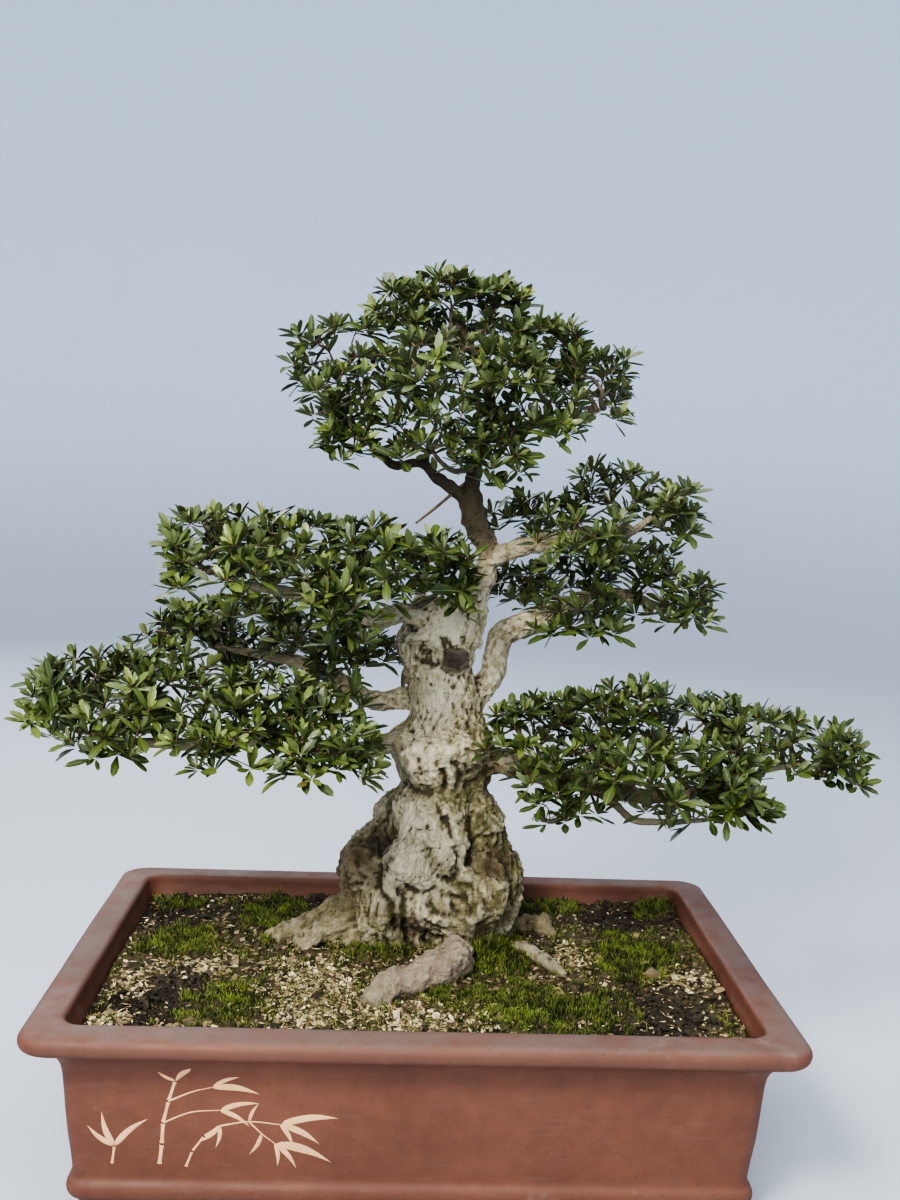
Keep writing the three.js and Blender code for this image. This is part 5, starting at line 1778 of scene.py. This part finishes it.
@dataclass
class Wood:
    """The trunk, surface roots and limbs, grown as one and fused into one skin of bark."""

    seed: int = 31
    voxel: float = 1.9
    foot_y: float = 72.0
    sides: int = 240
    levels: int = 230
    burl_spread: float = 1.265
    limb_sides: int = 20
    chunk: int = 4096
    saw_middle: tuple = (27.0, 41.5, 412.2)
    saw_facing: tuple = (-0.16, -0.94, -0.3)
    saw_outline: tuple = ((11.4, 8.0), (-5, 8.2), (-11.4, 3.2), (-6.8, -7.0), (0, -9.6), (9, -1.8))
    saw_reach: float = 17.0
    saw_depth: float = 0.9

    def __post_init__(self) -> None:
        """Starts the wood's noise and gathers its limbs, roots and stubs."""
        self.noise = Noise(self.seed)
        self.limbs = [*LIMBS.values(), *ROOTS.values(), *STUBS]
        self.facing = unit(np.array(self.saw_facing))

    def trunk_skin(self) -> tuple[Array, Array]:
        """The trunk's carved surface up to the cut top of its old leader.

        Returns:
            Its corners, ring by ring with the two ends' middles last, and its triangles.
        """
        dense = smooth_route([(x, b, z) for z, x, b, _ in ROWS], 1.0)
        depths = smooth_route([(d, 0, z) for z, _, _, d in ROWS], 1.0)
        height = np.linspace(ROWS[0][0], ROWS[-1][0], self.levels)[:, None]
        middle, breadth = (np.interp(height, dense[:, 2], dense[:, k]) for k in (0, 1))
        depth = np.interp(height, depths[:, 2], depths[:, 0])
        azimuth = (2 * np.pi * np.arange(self.sides) / self.sides)[None, :]
        oval = 1 / np.hypot(np.cos(azimuth) / breadth, np.sin(azimuth) / depth)
        flare = smoothstep(0, 120, 270 - height)
        lobes = np.abs(np.sin(azimuth)) * (0.035 + 0.05 * flare) * np.cos(7 * azimuth + height / 31)
        relief = np.zeros_like(oval)
        round_burls = [(a, z, *[s / self.burl_spread] * 2, rise) for a, z, s, rise in BURLS]
        for degrees, z, wide, tall, rise in (*round_burls, *CARVING):
            turn = azimuth - math.radians(degrees)
            along = oval * np.arctan2(np.sin(turn), np.cos(turn))
            relief += rise * np.exp(-0.5 * ((along / wide) ** 2 + ((height - z) / tall) ** 2))
        radius = oval * (1 + lobes) + relief
        slope = smoothstep(444, 460, height)
        x, y = radius * np.cos(azimuth), radius * np.sin(azimuth)
        top = height - 0.28 * slope * x + 4 * slope * (1 - slope)
        points = np.stack([middle + x, self.foot_y + y, top], axis=-1)
        ends = [[x, self.foot_y, z + lift] for (z, x, *_), lift in ((ROWS[0], 0), (ROWS[-1], 3))]
        return np.vstack([points.reshape(-1, 3), ends]), skin(self.levels, self.sides)

    def fused(self) -> Mesh:
        """Pushes the trunk and the limbs into each other and fuses them.

        Returns:
            One skin of even squares.
        """
        draft = Draft()
        draft.add(*self.trunk_skin())
        for number, limb in enumerate(self.limbs):
            line, radii = limb.line(3.0)
            points, faces = tube(line, radii, self.limb_sides)
            bumps = self.noise.layered(points / 15.0 + number, 3)
            middle = np.append(np.repeat(line, self.limb_sides, axis=0), line[[0, -1]], axis=0)
            share = 1 + (0.22 if limb.root else 0.15) * bumps
            draft.add(middle + (points - middle) * share[:, None], faces)
        rough = draft.build("wood_rough")
        fuse = rough.modifiers.new("fuse", "REMESH")
        fuse.mode = "VOXEL"
        fuse.voxel_size = self.voxel * MM
        ready = rough.evaluated_get(bpy.context.evaluated_depsgraph_get())
        mesh = bpy.data.meshes.new_from_object(ready)
        old = rough.data
        bpy.data.objects.remove(rough)
        bpy.data.meshes.remove(old)
        return mesh

    def nearest_limb(self, points: Array) -> list[Array]:
        """Finds what each point of the bark grows on.

        Args:
            points: Points on the bark.

        Returns:
            The direction of growth there, the radius there, and 0 on the trunk, 1 on a limb or 2 on a root.
        """
        spine = smooth_route([(x, self.foot_y, z) for z, x, _, _ in ROWS], 6.0)
        girth = np.interp(spine[:, 2], [r[0] for r in ROWS], [(r[2] + r[3]) / 2 for r in ROWS])
        parts = [(spine, girth, 0.0)] + [(*limb.line(5.0), 2.0 if limb.root else 1.0) for limb in self.limbs]
        middle = np.concatenate([line for line, _, _ in parts])
        heading = np.concatenate([unit(np.gradient(line, axis=0)) for line, _, _ in parts])
        radius = np.concatenate([radii for _, radii, _ in parts])
        kind = np.concatenate([np.full(len(line), number) for line, _, number in parts])
        best = []
        for start in range(0, len(points), self.chunk):
            some = points[start:start + self.chunk]
            gap = np.sqrt(np.maximum((some**2).sum(1)[:, None] + (middle**2).sum(1) - 2 * some @ middle.T, 0))
            best.append(np.argmin(gap - radius, axis=1))
        best = np.concatenate(best)
        return [value[best] for value in (heading, radius, kind)]

    def tint(self, kind: Tint, points: Array) -> Array:
        """How strong one local colour is.

        Args:
            kind: The colour.
            points: Points on the bark.

        Returns:
            A number from 0 to 1 for each point.
        """
        most = np.zeros(len(points))
        ragged = 1 + 0.45 * self.noise.layered(points / 9.0 + 3.0, 3)
        for x, y, z, spread in TINTS[kind]:
            away = np.linalg.norm(points - (x, y, z), axis=1) * ragged / spread
            mark = smoothstep(1.5, 0.7, away) if kind is Tint.DARK else np.exp(-0.5 * away**2)
            most = np.maximum(most, mark)
        return most

    def creases(self, points: Array, width: float) -> Array:
        """Winding creases as a value from 0 to 1 that is highest along their bottoms."""
        return smoothstep(width, 0.0, np.abs(self.noise.smooth(points)))

    def cleft_relief(self, points: Array, facing: Array) -> tuple[Array, Array]:
        """The clefts in the front of the trunk, which run along lines given as x and height.

        Args:
            points: Points on the bark.
            facing: How much each point looks to the front, from 0 to 1.

        Returns:
            How deep the bark is cut at each point, and how much shade is painted there.
        """
        depth, shade = np.zeros(len(points)), np.zeros(len(points))
        sway = 2.2 * np.column_stack([self.noise.layered(points / 9.0 + k, 2) for k in (11.0, 23.0)])
        flat = points[:, [0, 2]] + sway
        for width, deep, line in CLEFTS:
            ends = np.array(line, float)
            near = np.full(len(points), 1e9)
            for a, b in zip(ends, ends[1:]):
                share = np.clip(((flat - a) @ (b - a)) / ((b - a) @ (b - a)), 0, 1)
                near = np.minimum(near, np.linalg.norm(flat - a - share[:, None] * (b - a), axis=1))
            cut = np.exp(-((near / width) ** 2)) * facing
            depth = np.maximum(depth, 0.8 * deep * cut)
            shade = np.maximum(shade, cut * min(1.0, deep / 8))
        return depth, shade

    def relief(self, points: Array, heading: Array, radius: Array, kind: Array) -> tuple[Array, Array]:
        """The worked bark: gnarled low on the trunk and on the roots, fibrous higher up and on the limbs.

        Args:
            points: Points on the bark.
            heading: The direction of growth at each.
            radius: The radius of what each grows on.
            kind: 0 on the trunk, 1 on a limb or 2 on a root.

        Returns:
            The bark's height and the fibre's tone at each point.
        """
        smooth, layered = self.noise.smooth, self.noise.layered
        along = (points * heading).sum(1, keepdims=True) * heading
        across = points - along
        swirl = np.column_stack([smooth(points / 21.0 + k) for k in (1.0, 5.0, 9.0)])
        grown = across + along / 1.7 + 7.0 * swirl
        fibre = layered(across / 5.2 + along / 40.0 + 0.5 * swirl, 4, 0.66)
        cracks = self.creases(across / 6.5 + along / 48.0 + 0.6 * swirl + 4.0, 0.13)
        lumps = 2.6 * layered(grown / 17.0, 2) + 2.0 * layered(grown / 7.5 + 3.0, 2)
        lumps += 3.0 * np.abs(smooth(grown / 7.0 + 21.0)) ** 0.7
        folds = 2.2 * self.creases(grown / 19.0 + 8.0, 0.12) + 1.7 * self.creases(grown / 8.0 + 2.0, 0.16)
        patches = smoothstep(-0.25, 0.35, smooth(points / 33.0 + 6.0))
        knobby = smoothstep(226, 196, points[:, 2]) + 0.6 * smoothstep(46, 66, points[:, 0])
        buds = np.exp(-((self.noise.spot_gap(grown / 9.0 + 3.0) / 0.42) ** 2))
        knobs = 2.4 * np.clip(knobby, 0, 1) * patches * buds
        pits = 1.3 * smoothstep(0.46, 0.66, smooth(points / 5.6 + 12.0))
        plain = 1 - 0.7 * self.tint(Tint.FLESH, points)
        low = smoothstep(316, 276, points[:, 2]) * (kind != 1) * plain
        gnarl = lumps + knobs - folds * (0.35 + 0.65 * patches) - pits
        grainy = 1.8 * fibre - 1.5 * cracks + 1.8 * layered(points / 12.0 + 9.0, 3)
        thick = np.where(kind == 2, 0.9 * smoothstep(1, 10, radius), smoothstep(3, 15, radius))
        bare = 1 - 0.55 * self.tint(Tint.PALE, points)
        height = (low * gnarl + (1 - 0.55 * low) * grainy) * bare * (0.2 + 0.8 * thick)
        return height, fibre - 0.5 * cracks

    def saw(self, points: Array) -> Array:
        """Cuts the old branch in front of the trunk off flat.

        Args:
            points: Points on the bark.

        Returns:
            The points, those of the cut branch moved onto the cut.
        """
        away = points - self.saw_middle
        proud = away @ self.facing
        beside = np.linalg.norm(away - np.outer(proud, self.facing), axis=1)
        trim = np.where((proud > 0) & (proud < 16) & (beside < self.saw_reach), proud, 0.0)
        return points - np.outer(trim, self.facing)

    def sawn(self, points: Array) -> Array:
        """How much each point lies at the edge of the sawn face, where the wood has gone dark.

        Args:
            points: Points on the bark.

        Returns:
            A number from 0 to 1 for each.
        """
        away = points - self.saw_middle
        near = smoothstep(self.saw_reach, 12, np.linalg.norm(away, axis=1))
        return smoothstep(2.5, 0.4, np.abs(away @ self.facing)) * near

    def place(self, mesh: Mesh, points: Array) -> Array:
        """Moves a mesh's corners.

        Args:
            mesh: The mesh.
            points: Where they go.

        Returns:
            The outward direction at each.
        """
        mesh.vertices.foreach_set("co", ((points + POT_MIDDLE) * MM).ravel())
        mesh.update()
        normals = np.empty(3 * len(points))
        mesh.vertices.foreach_get("normal", normals)
        return normals.reshape(-1, 3)

    def colours(self, points: Array, normals: Array, radius: Array, kind: Array,
                shade: Array) -> dict[str, Array]:
        """The local colours of the bark.

        Args:
            points: The finished points of the bark.
            normals: The direction in which each looked before the bark was worked.
            radius: The radius of what each grows on.
            kind: 0 on the trunk, 1 on a limb or 2 on a root.
            shade: How much shade is painted into the clefts at each.

        Returns:
            A number from 0 to 1 for each point, by the name of the colour.
        """
        x, _, z = points.T
        values = {tint.value: self.tint(tint, points) for tint in Tint}
        thin = np.maximum(smoothstep(14, 4, radius) * 0.8, smoothstep(480, 530, z) * 0.85)
        values["old"] = np.maximum(0.62 * (kind == 2), (kind == 1) * thin)
        values["upright"] = (kind == 0) * 1.0
        # Painted shade on the top of the leader, which joins the dark value with the clefts' painted shade.
        painted_leader_shade = 0.8 * (kind == 1) * smoothstep(496, 526, z) * smoothstep(62, 54, x)
        darks = [values["dark"] * 0.8, shade * 0.85, 0.8 * self.sawn(points), painted_leader_shade]
        values["dark"] = np.maximum.reduce(darks)
        blotches = smoothstep(-0.1, 0.5, self.noise.layered(points / 20.0 + 5.0, 3))
        # Olive blotches low on the trunk, and painted shade in olive on the faces that turn away from the
        # front.
        aside = smoothstep(-0.6, -0.1, normals[:, 1]) * (1 - 0.6 * smoothstep(0.2, 0.8, normals[:, 1]))
        stain_and_side_shade = np.maximum(smoothstep(310, 240, z) * blotches, 0.8 * aside)
        stain_and_side_shade *= 0.5 * (kind == 0) * (1 - values["pale"])
        foot = smoothstep(172, 146, z) * (0.5 + 0.5 * self.noise.layered(points / 16.0, 3))
        foot = np.clip(foot, 0, 0.9) * (1 - values["flesh"])
        values["green"] = np.maximum.reduce([values["green"], foot, stain_and_side_shade])
        return values

    def build(self, bark: Material, sawn: Material) -> None:
        """Fuses the wood, works its bark and lays its colours.

        Args:
            bark: The material of the bark.
            sawn: The material of the sawn face.
        """
        mesh = self.fused()
        points = np.empty(3 * len(mesh.vertices))
        mesh.vertices.foreach_get("co", points)
        points = points.reshape(-1, 3) / MM - POT_MIDDLE
        ends = edge_ends(mesh)
        for strength in 4 * (0.5, -0.52):
            points = relax(points, ends, 1, strength)
        normals = self.place(mesh, points)
        heading, radius, kind = self.nearest_limb(points)
        height, fibre = self.relief(points, heading, radius, kind)
        deep, shade = self.cleft_relief(points, smoothstep(0.05, 0.5, -normals[:, 1]) * (kind != 2))
        points = relax(self.saw(points + normals * (height - deep)[:, None]), ends, 1, 0.2)
        close, broad = (((points - relax(points, ends, rounds, 0.5)) * normals).sum(1) for rounds in (6, 60))
        values = self.colours(points, normals, radius, kind, shade)
        # The level drives painted shade in the bark's hollows and a painted highlight on its bumps.
        values["level"] = np.clip(0.5 + (0.55 * close + 0.17 * broad) * 0.54, 0, 1)
        values["fibre"] = np.clip(0.5 + 0.5 * fibre, 0, 1)
        mesh.polygons.foreach_set("use_smooth", np.ones(len(mesh.polygons), bool))
        for name, value in values.items():
            mesh.attributes.new(name, "FLOAT", "POINT").data.foreach_set("value", value.astype(np.float32))
        self.place(mesh, points)
        settle(show(mesh, "wood_bark", bark), "bark", "trunk_and_branches")
        self.build_cut(sawn)

    def build_cut(self, sawn: Material) -> None:
        """Builds the dark sawn face of the old branch as a thin six-sided disc with rings.

        Args:
            sawn: Its material.
        """
        side = unit(np.cross(self.facing, (0.0, 0.0, 1.0)))
        rise = np.cross(side, self.facing)
        corners = np.array([*self.saw_outline, self.saw_outline[0]], float)
        edge = np.vstack([np.linspace(a, b, 8, endpoint=False) for a, b in zip(corners, corners[1:])])
        edge += 0.3 * self.noise.smooth(raised(edge, edge[:, 0]) / 2.0)[:, None]
        flat = np.outer(edge[:, 0], -side) + np.outer(edge[:, 1], rise)
        shares = np.linspace(0.06, 1.0, 10)
        lifts = np.where(shares > 0.95, -self.saw_depth, 0.35 + 0.5 * shares)
        rings = [self.saw_middle + self.facing * lift + flat * share for share, lift in zip(shares, lifts)]
        middles = self.saw_middle + np.outer((0.35, -self.saw_depth), self.facing)
        draft = Draft(("ring",))
        draft.add(np.vstack([*rings, middles]), skin(len(rings), len(edge)),
                  ring=np.append(np.repeat(shares, len(edge)), (0.0, 1.0)))
        settle(draft.build("old_cut_face", sawn), "bark")


@dataclass
class LeafShape:
    """An elliptic azalea leaf, widest past its middle, as a thin closed blade."""

    stations: tuple = (0.22, 0.56, 0.84)
    widths: tuple = (0.42, 0.96, 0.76)
    thickness: float = 0.022

    def __post_init__(self) -> None:
        """Lays out the corners and triangles: base, tip, then left edge, rib, right edge and rib below."""
        widths = np.array(self.widths)
        self.across = np.append([0.0, 0.0], np.outer(widths, [-1.0, 0.0, 1.0, 0.0]))
        self.along = np.append([0.0, 1.0], np.repeat(self.stations, 4))
        self.lift = np.append([0.0, 0.0], np.tile([0.0, self.thickness, 0.0, -self.thickness], len(widths)))
        self.crisp = np.append([True, True], np.tile([True, False, True, False], len(widths)))
        rows = [2 + 4 * k for k in range(len(widths))]
        sides = []
        for rib in (1, 3):
            faces = [(0, rows[0] + 2, rows[0] + rib), (0, rows[0] + rib, rows[0])]
            for a, b in zip(rows, rows[1:]):
                faces += [(a, a + rib, b + rib), (a, b + rib, b)]
                faces += [(a + rib, a + 2, b + 2), (a + rib, b + 2, b + rib)]
            sides.append(np.array(faces + [(rows[-1], rows[-1] + rib, 1), (rows[-1] + rib, rows[-1] + 2, 1)]))
        self.triangles = np.vstack([sides[0], sides[1][:, ::-1]])
        self.below = np.repeat([0.0, 1.0], len(sides[0]))

    def lay(self, base: Array, ahead: Array, above: Array, length: Array, width: Array, fold: Array,
            droop: Array) -> Array:
        """Lays many leaves at once.

        Args:
            base: Where each leaf is attached.
            ahead: The direction in which it starts.
            above: The direction in which its upper side looks.
            length: Its length.
            width: Its whole width.
            fold: How much its two halves rise from the rib, as a share of its half width.
            droop: How far its tip sinks, as a share of its length.

        Returns:
            The corners of every leaf, in an array of leaves by corners by 3.
        """
        above = unit(above - ahead * (above * ahead).sum(1, keepdims=True))
        side = np.cross(ahead, above)
        half = (width / 2)[:, None]
        length = length[:, None]
        rise = self.lift * length + np.abs(self.across) * half * fold[:, None]
        rise = rise - droop[:, None] * length * self.along**2
        return (base[:, None] + (self.along * length)[..., None] * ahead[:, None]
                + (self.across * half)[..., None] * side[:, None] + rise[..., None] * above[:, None])


@dataclass
class Spray:
    """One leafy spray: twigs that fork from its stem, with a whorl of leaves at each shoot's end."""

    name: str
    random: np.random.Generator
    leaf: LeafShape
    shoots: int
    youth: float
    rooms: tuple[float, float, float, float]
    extra_tips: tuple
    depth_room: float = 13.0
    samples: int = 420
    leaves_a_shoot: tuple[int, int] = (8, 13)
    leaf_length: float = 21.0
    golden_turn: float = 2.4

    def reach(self, wood: Array) -> None:
        """Reads the node's place: its stem's foot, nearest to the wood, and where its leaves should be.

        Args:
            wood: Points along the limb that carries it.
        """
        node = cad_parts[self.name]
        corners = np.array([tuple(v.co) for v in node.data.vertices]) / MM - POT_MIDDLE
        faces = np.array([tuple(p.vertices)[:3] for p in node.data.polygons])
        gap = np.linalg.norm(corners[:, None] - wood[None], axis=2).min(axis=1)
        foot = corners[np.argmin(gap)]
        self.foot = corners[np.linalg.norm(corners - foot, axis=1) < 4.4].mean(0)
        first, second, third = (corners[faces[:, k]] for k in range(3))
        area = np.linalg.norm(np.cross(second - first, third - first), axis=1)
        picks = self.random.choice(len(faces), self.samples, p=area / area.sum())
        share = self.random.dirichlet((1, 1, 1), self.samples)
        spots = np.einsum("nk,nkj->nj", share, corners[faces[picks]])
        self.centre = corners[faces].mean(1)[picks].mean(0)
        left, right, below, above = self.rooms
        low = np.minimum(corners.min(0) + (left, self.depth_room, below), self.centre)
        high = np.maximum(corners.max(0) - (right, self.depth_room, above), self.centre)
        spots = np.clip(spots, low, high) + self.random.normal(0, 1.5, spots.shape)
        chosen = [np.argmin(np.linalg.norm(spots - self.centre, axis=1))]
        away = np.linalg.norm(spots - spots[chosen[0]], axis=1)
        for _ in range(self.shoots - 1):
            chosen.append(np.argmax(away))
            away = np.minimum(away, np.linalg.norm(spots - spots[chosen[-1]], axis=1))
        self.tips = np.vstack([spots[chosen], *np.reshape(self.extra_tips, (-1, 1, 3))])

    def grow(self) -> list[tuple[Array, int]]:
        """Joins each shoot's end to the nearest place on the growing twigs.

        Returns:
            The points of each twig and the number of the twig it forks from, or -1.
        """
        heading = unit(self.centre - self.foot)
        stem = np.array([self.foot + heading * d for d in (0.0, 5.0, 10.0)])
        knots, owners, paths = list(stem), [0, 0, 0], [0.0, 5.0, 10.0]
        twigs = [(stem, -1)]
        for tip in self.tips[np.argsort(np.linalg.norm(self.tips - self.foot, axis=1))]:
            gaps = np.linalg.norm(np.array(knots) - tip, axis=1)
            start = int(np.argmin(gaps + 0.3 * np.array(paths)))
            root, span = knots[start], gaps[start]
            outward = unit(tip - self.centre + np.array([0, 0, 8.0]))
            stray = self.random.normal(0, 0.05 * span + 0.2, 3)
            bend = root + 0.55 * (tip - root) - 0.16 * span * outward + stray
            twig = smooth_route([root, bend, tip], max(3.0, span / 4))
            for k in (len(twig) // 3, 2 * len(twig) // 3):
                knots.append(twig[k])
                owners.append(len(twigs))
                paths.append(paths[start] + span * k / len(twig))
            twigs.append((twig, owners[start]))
        return twigs

    def build(self, *materials: Material) -> None:
        """Builds the spray's twigs, buds and leaves as one piece.

        Args:
            materials: The material of the leaves, then that of the twigs.
        """
        twigs = self.grow()
        carried = np.ones(len(twigs))
        for number in range(len(twigs) - 1, 0, -1):
            carried[twigs[number][1]] += carried[number]
        draft = Draft(("tone", "youth", "across", "along", "browned", "bud"), ("under",))
        for number, (line, _) in enumerate(twigs):
            start = min(0.5 * carried[number] ** 0.42, 1.75)
            radii = spread_radii([start, 0.48 if number else start], len(line))
            fresh = np.append(np.repeat(np.linspace(0, 1, len(line)), 4), (0, 1)) * (number > 0)
            draft.add(*tube(line, radii, 4), 1, youth=np.clip(fresh * 1.2 - 0.2, 0, 1))
            if number:
                self.add_whorl(draft, line)
        settle(draft.build(self.name + "_leaves", *materials), "leaves", self.name)

    def add_whorl(self, draft: Draft, line: Array) -> None:
        """Adds a bud and its whorl of leaves at the end of a twig.

        Args:
            draft: What they are added to.
            line: The twig's points.
        """
        draw = self.random
        tip, lift = line[-1], np.array([0.0, 0.0, 1.0])
        outward = unit(tip - self.centre)
        axis = unit(0.35 * unit(tip - line[-2]) + lift + (0.6, 0.6, 0.2) * outward + draw.normal(0, 0.2, 3))
        count = int(draw.integers(*self.leaves_a_shoot))
        order = np.arange(count) / max(count - 1, 1)
        turn = self.golden_turn * np.arange(count) + draw.uniform(0, 6.28) + draw.normal(0, 0.2, count)
        tilt = np.radians(20 + 54 * order + draw.normal(0, 9, count))
        side = unit(np.cross(axis, np.eye(3)[np.argmin(np.abs(axis))]))
        ring = np.outer(np.cos(turn), side) + np.outer(np.sin(turn), np.cross(axis, side))
        ahead = unit(np.cos(tilt)[:, None] * axis + np.sin(tilt)[:, None] * ring)
        above = unit(axis + 0.35 * lift - 0.3 * ring + draw.normal(0, 0.18, (count, 3)))
        base = tip - np.outer(0.4 + 3.6 * order, axis) + 0.5 * ring
        length = self.leaf_length * (0.5 + 0.58 * order) * draw.lognormal(0, 0.14, count)
        width = length * draw.uniform(0.27, 0.38, count)
        fold, droop = draw.uniform(0.12, 0.5, count), draw.uniform(-0.1, 0.22, count)
        corners = self.leaf.lay(base, ahead, above, length, width, fold, droop)
        tone = np.clip(draw.normal(0.5, 0.24) + draw.normal(0, 0.2, count), 0, 1)
        fresh = 0.75 if draw.random() < self.youth else 0.18
        youth = np.clip(fresh * (1 - 0.75 * order) + draw.normal(0, 0.1, count), 0, 1)
        browned = np.where(draw.random(count) < 0.003, draw.uniform(0.2, 0.5, count), 0.0)
        size = len(self.leaf.along)
        whole = {"tone": tone, "youth": youth, "browned": browned}
        blade = {"sharp": self.leaf.crisp, "across": self.leaf.across, "along": self.leaf.along,
                 "under": self.leaf.below}
        draft.add(corners.reshape(-1, 3), copies(self.leaf.triangles, size, count),
                  **{name: np.repeat(value, size) for name, value in whole.items()},
                  **{name: np.tile(value, count) for name, value in blade.items()})
        bud = tip + np.outer((0.0, 1.4, 3.4), axis)
        draft.add(*tube(bud, np.array([0.55, 1.0, 0.15]), 4), 1, youth=1.0, bud=draw.uniform(0.0, 1.0))


@dataclass
class Foliage:
    """Every leafy spray, and the branchlets that carry them."""

    seed: int = 47
    twig_sides: int = 10
    dry_twig: Limb = Limb(((30, 68, 571), (18, 64, 561), (2, 58, 547), (-14, 52, 534)), (1.8, 1.5, 1.3, 1.0))

    def spray(self, number: int, name: str) -> Spray:
        """Starts a spray.

        Args:
            number: Its number, which sets its draws.
            name: The name of its node.

        Returns:
            The spray.
        """
        low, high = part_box(name)
        outwards = np.clip(((low.x + high.x) / 2 / MM - POT_MIDDLE[0] - 30) / 9, -10, 10)
        rooms = ROOMS.get(name, (13 - outwards, 13 + outwards, 8, 14))
        youth, shoots = next((look for part, look in LOOKS.items() if part in name), (0.3, 28))
        draws = np.random.default_rng(self.seed + number)
        return Spray(name, draws, LeafShape(), shoots, youth, rooms, LOOSE_SHOOTS.get(name, ()))

    def build(self, leaves: Material, twig: Material) -> None:
        """Builds the sprays, then the branchlets from the limbs to them.

        Args:
            leaves: The material of the leaves.
            twig: The material of the twigs.
        """
        draft = Draft(("youth", "bud"))
        noise = Noise(self.seed)
        for number, name in enumerate(sorted(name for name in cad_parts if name.startswith("spray_"))):
            limb, _ = LIMBS[name.removeprefix("spray_").rsplit("_", 1)[0]].line(2.0)
            spray = self.spray(number, name)
            spray.reach(limb)
            heading = unit(spray.centre - spray.foot)
            back = spray.foot - 0.35 * np.linalg.norm(spray.foot - limb, axis=1).min() * heading
            outer = limb[len(limb) // 5:]
            start = outer[np.argmin(np.linalg.norm(outer - back, axis=1))]
            sag = np.array([0, 0, 0.14 * np.linalg.norm(spray.foot - start)])
            bend = start + 0.55 * (spray.foot - start) - sag
            line = smooth_route([start, bend, spray.foot - 5 * heading, spray.foot + heading], 4.0)
            corners, faces = tube(line, spread_radii([3.3, 2.6, 2.2, 1.8], len(line)), self.twig_sides)
            middle = np.vstack([np.repeat(line, self.twig_sides, axis=0), line[[0, -1]]])
            share = 1 + 0.22 * noise.layered(corners / 5.0, 2)
            draft.add(middle + (corners - middle) * share[:, None], faces)
            spray.build(leaves, twig)
        draft.add(*tube(*self.dry_twig.line(4.0), 8), youth=0.4)
        settle(draft.build("branchlets", twig), "bark", "trunk_and_branches")


def main() -> None:
    """Builds the studio and every piece of the bonsai in order."""
    logging.basicConfig(level=logging.INFO, format="%(message)s")
    effects = Effects()
    finishes = (PAPER, CLAY, SLIP, NET, SOIL, GRIT, STRAW, MOSS, BARK, SAWN, LEAF, TWIG)
    paper, clay, slip, net, soil, grit, straw, moss, bark, sawn, leaf, twig = (
        finish.material(effects) for finish in finishes)
    studio = Studio()
    studio.place_camera()
    studio.light()
    studio.lay_backdrop(paper)
    pot = StonewarePot()
    pot.build(clay)
    BambooInlay(pot).build(slip)
    DrainScreens().build(net)
    bed = SoilBed()
    bed.build_ground(soil)
    bed.build_grit(grit)
    bed.build_litter(straw)
    bed.build_moss(moss)
    Wood().build(bark, sawn)
    Foliage().build(leaf, twig)


if __name__ == "__main__":
    main()
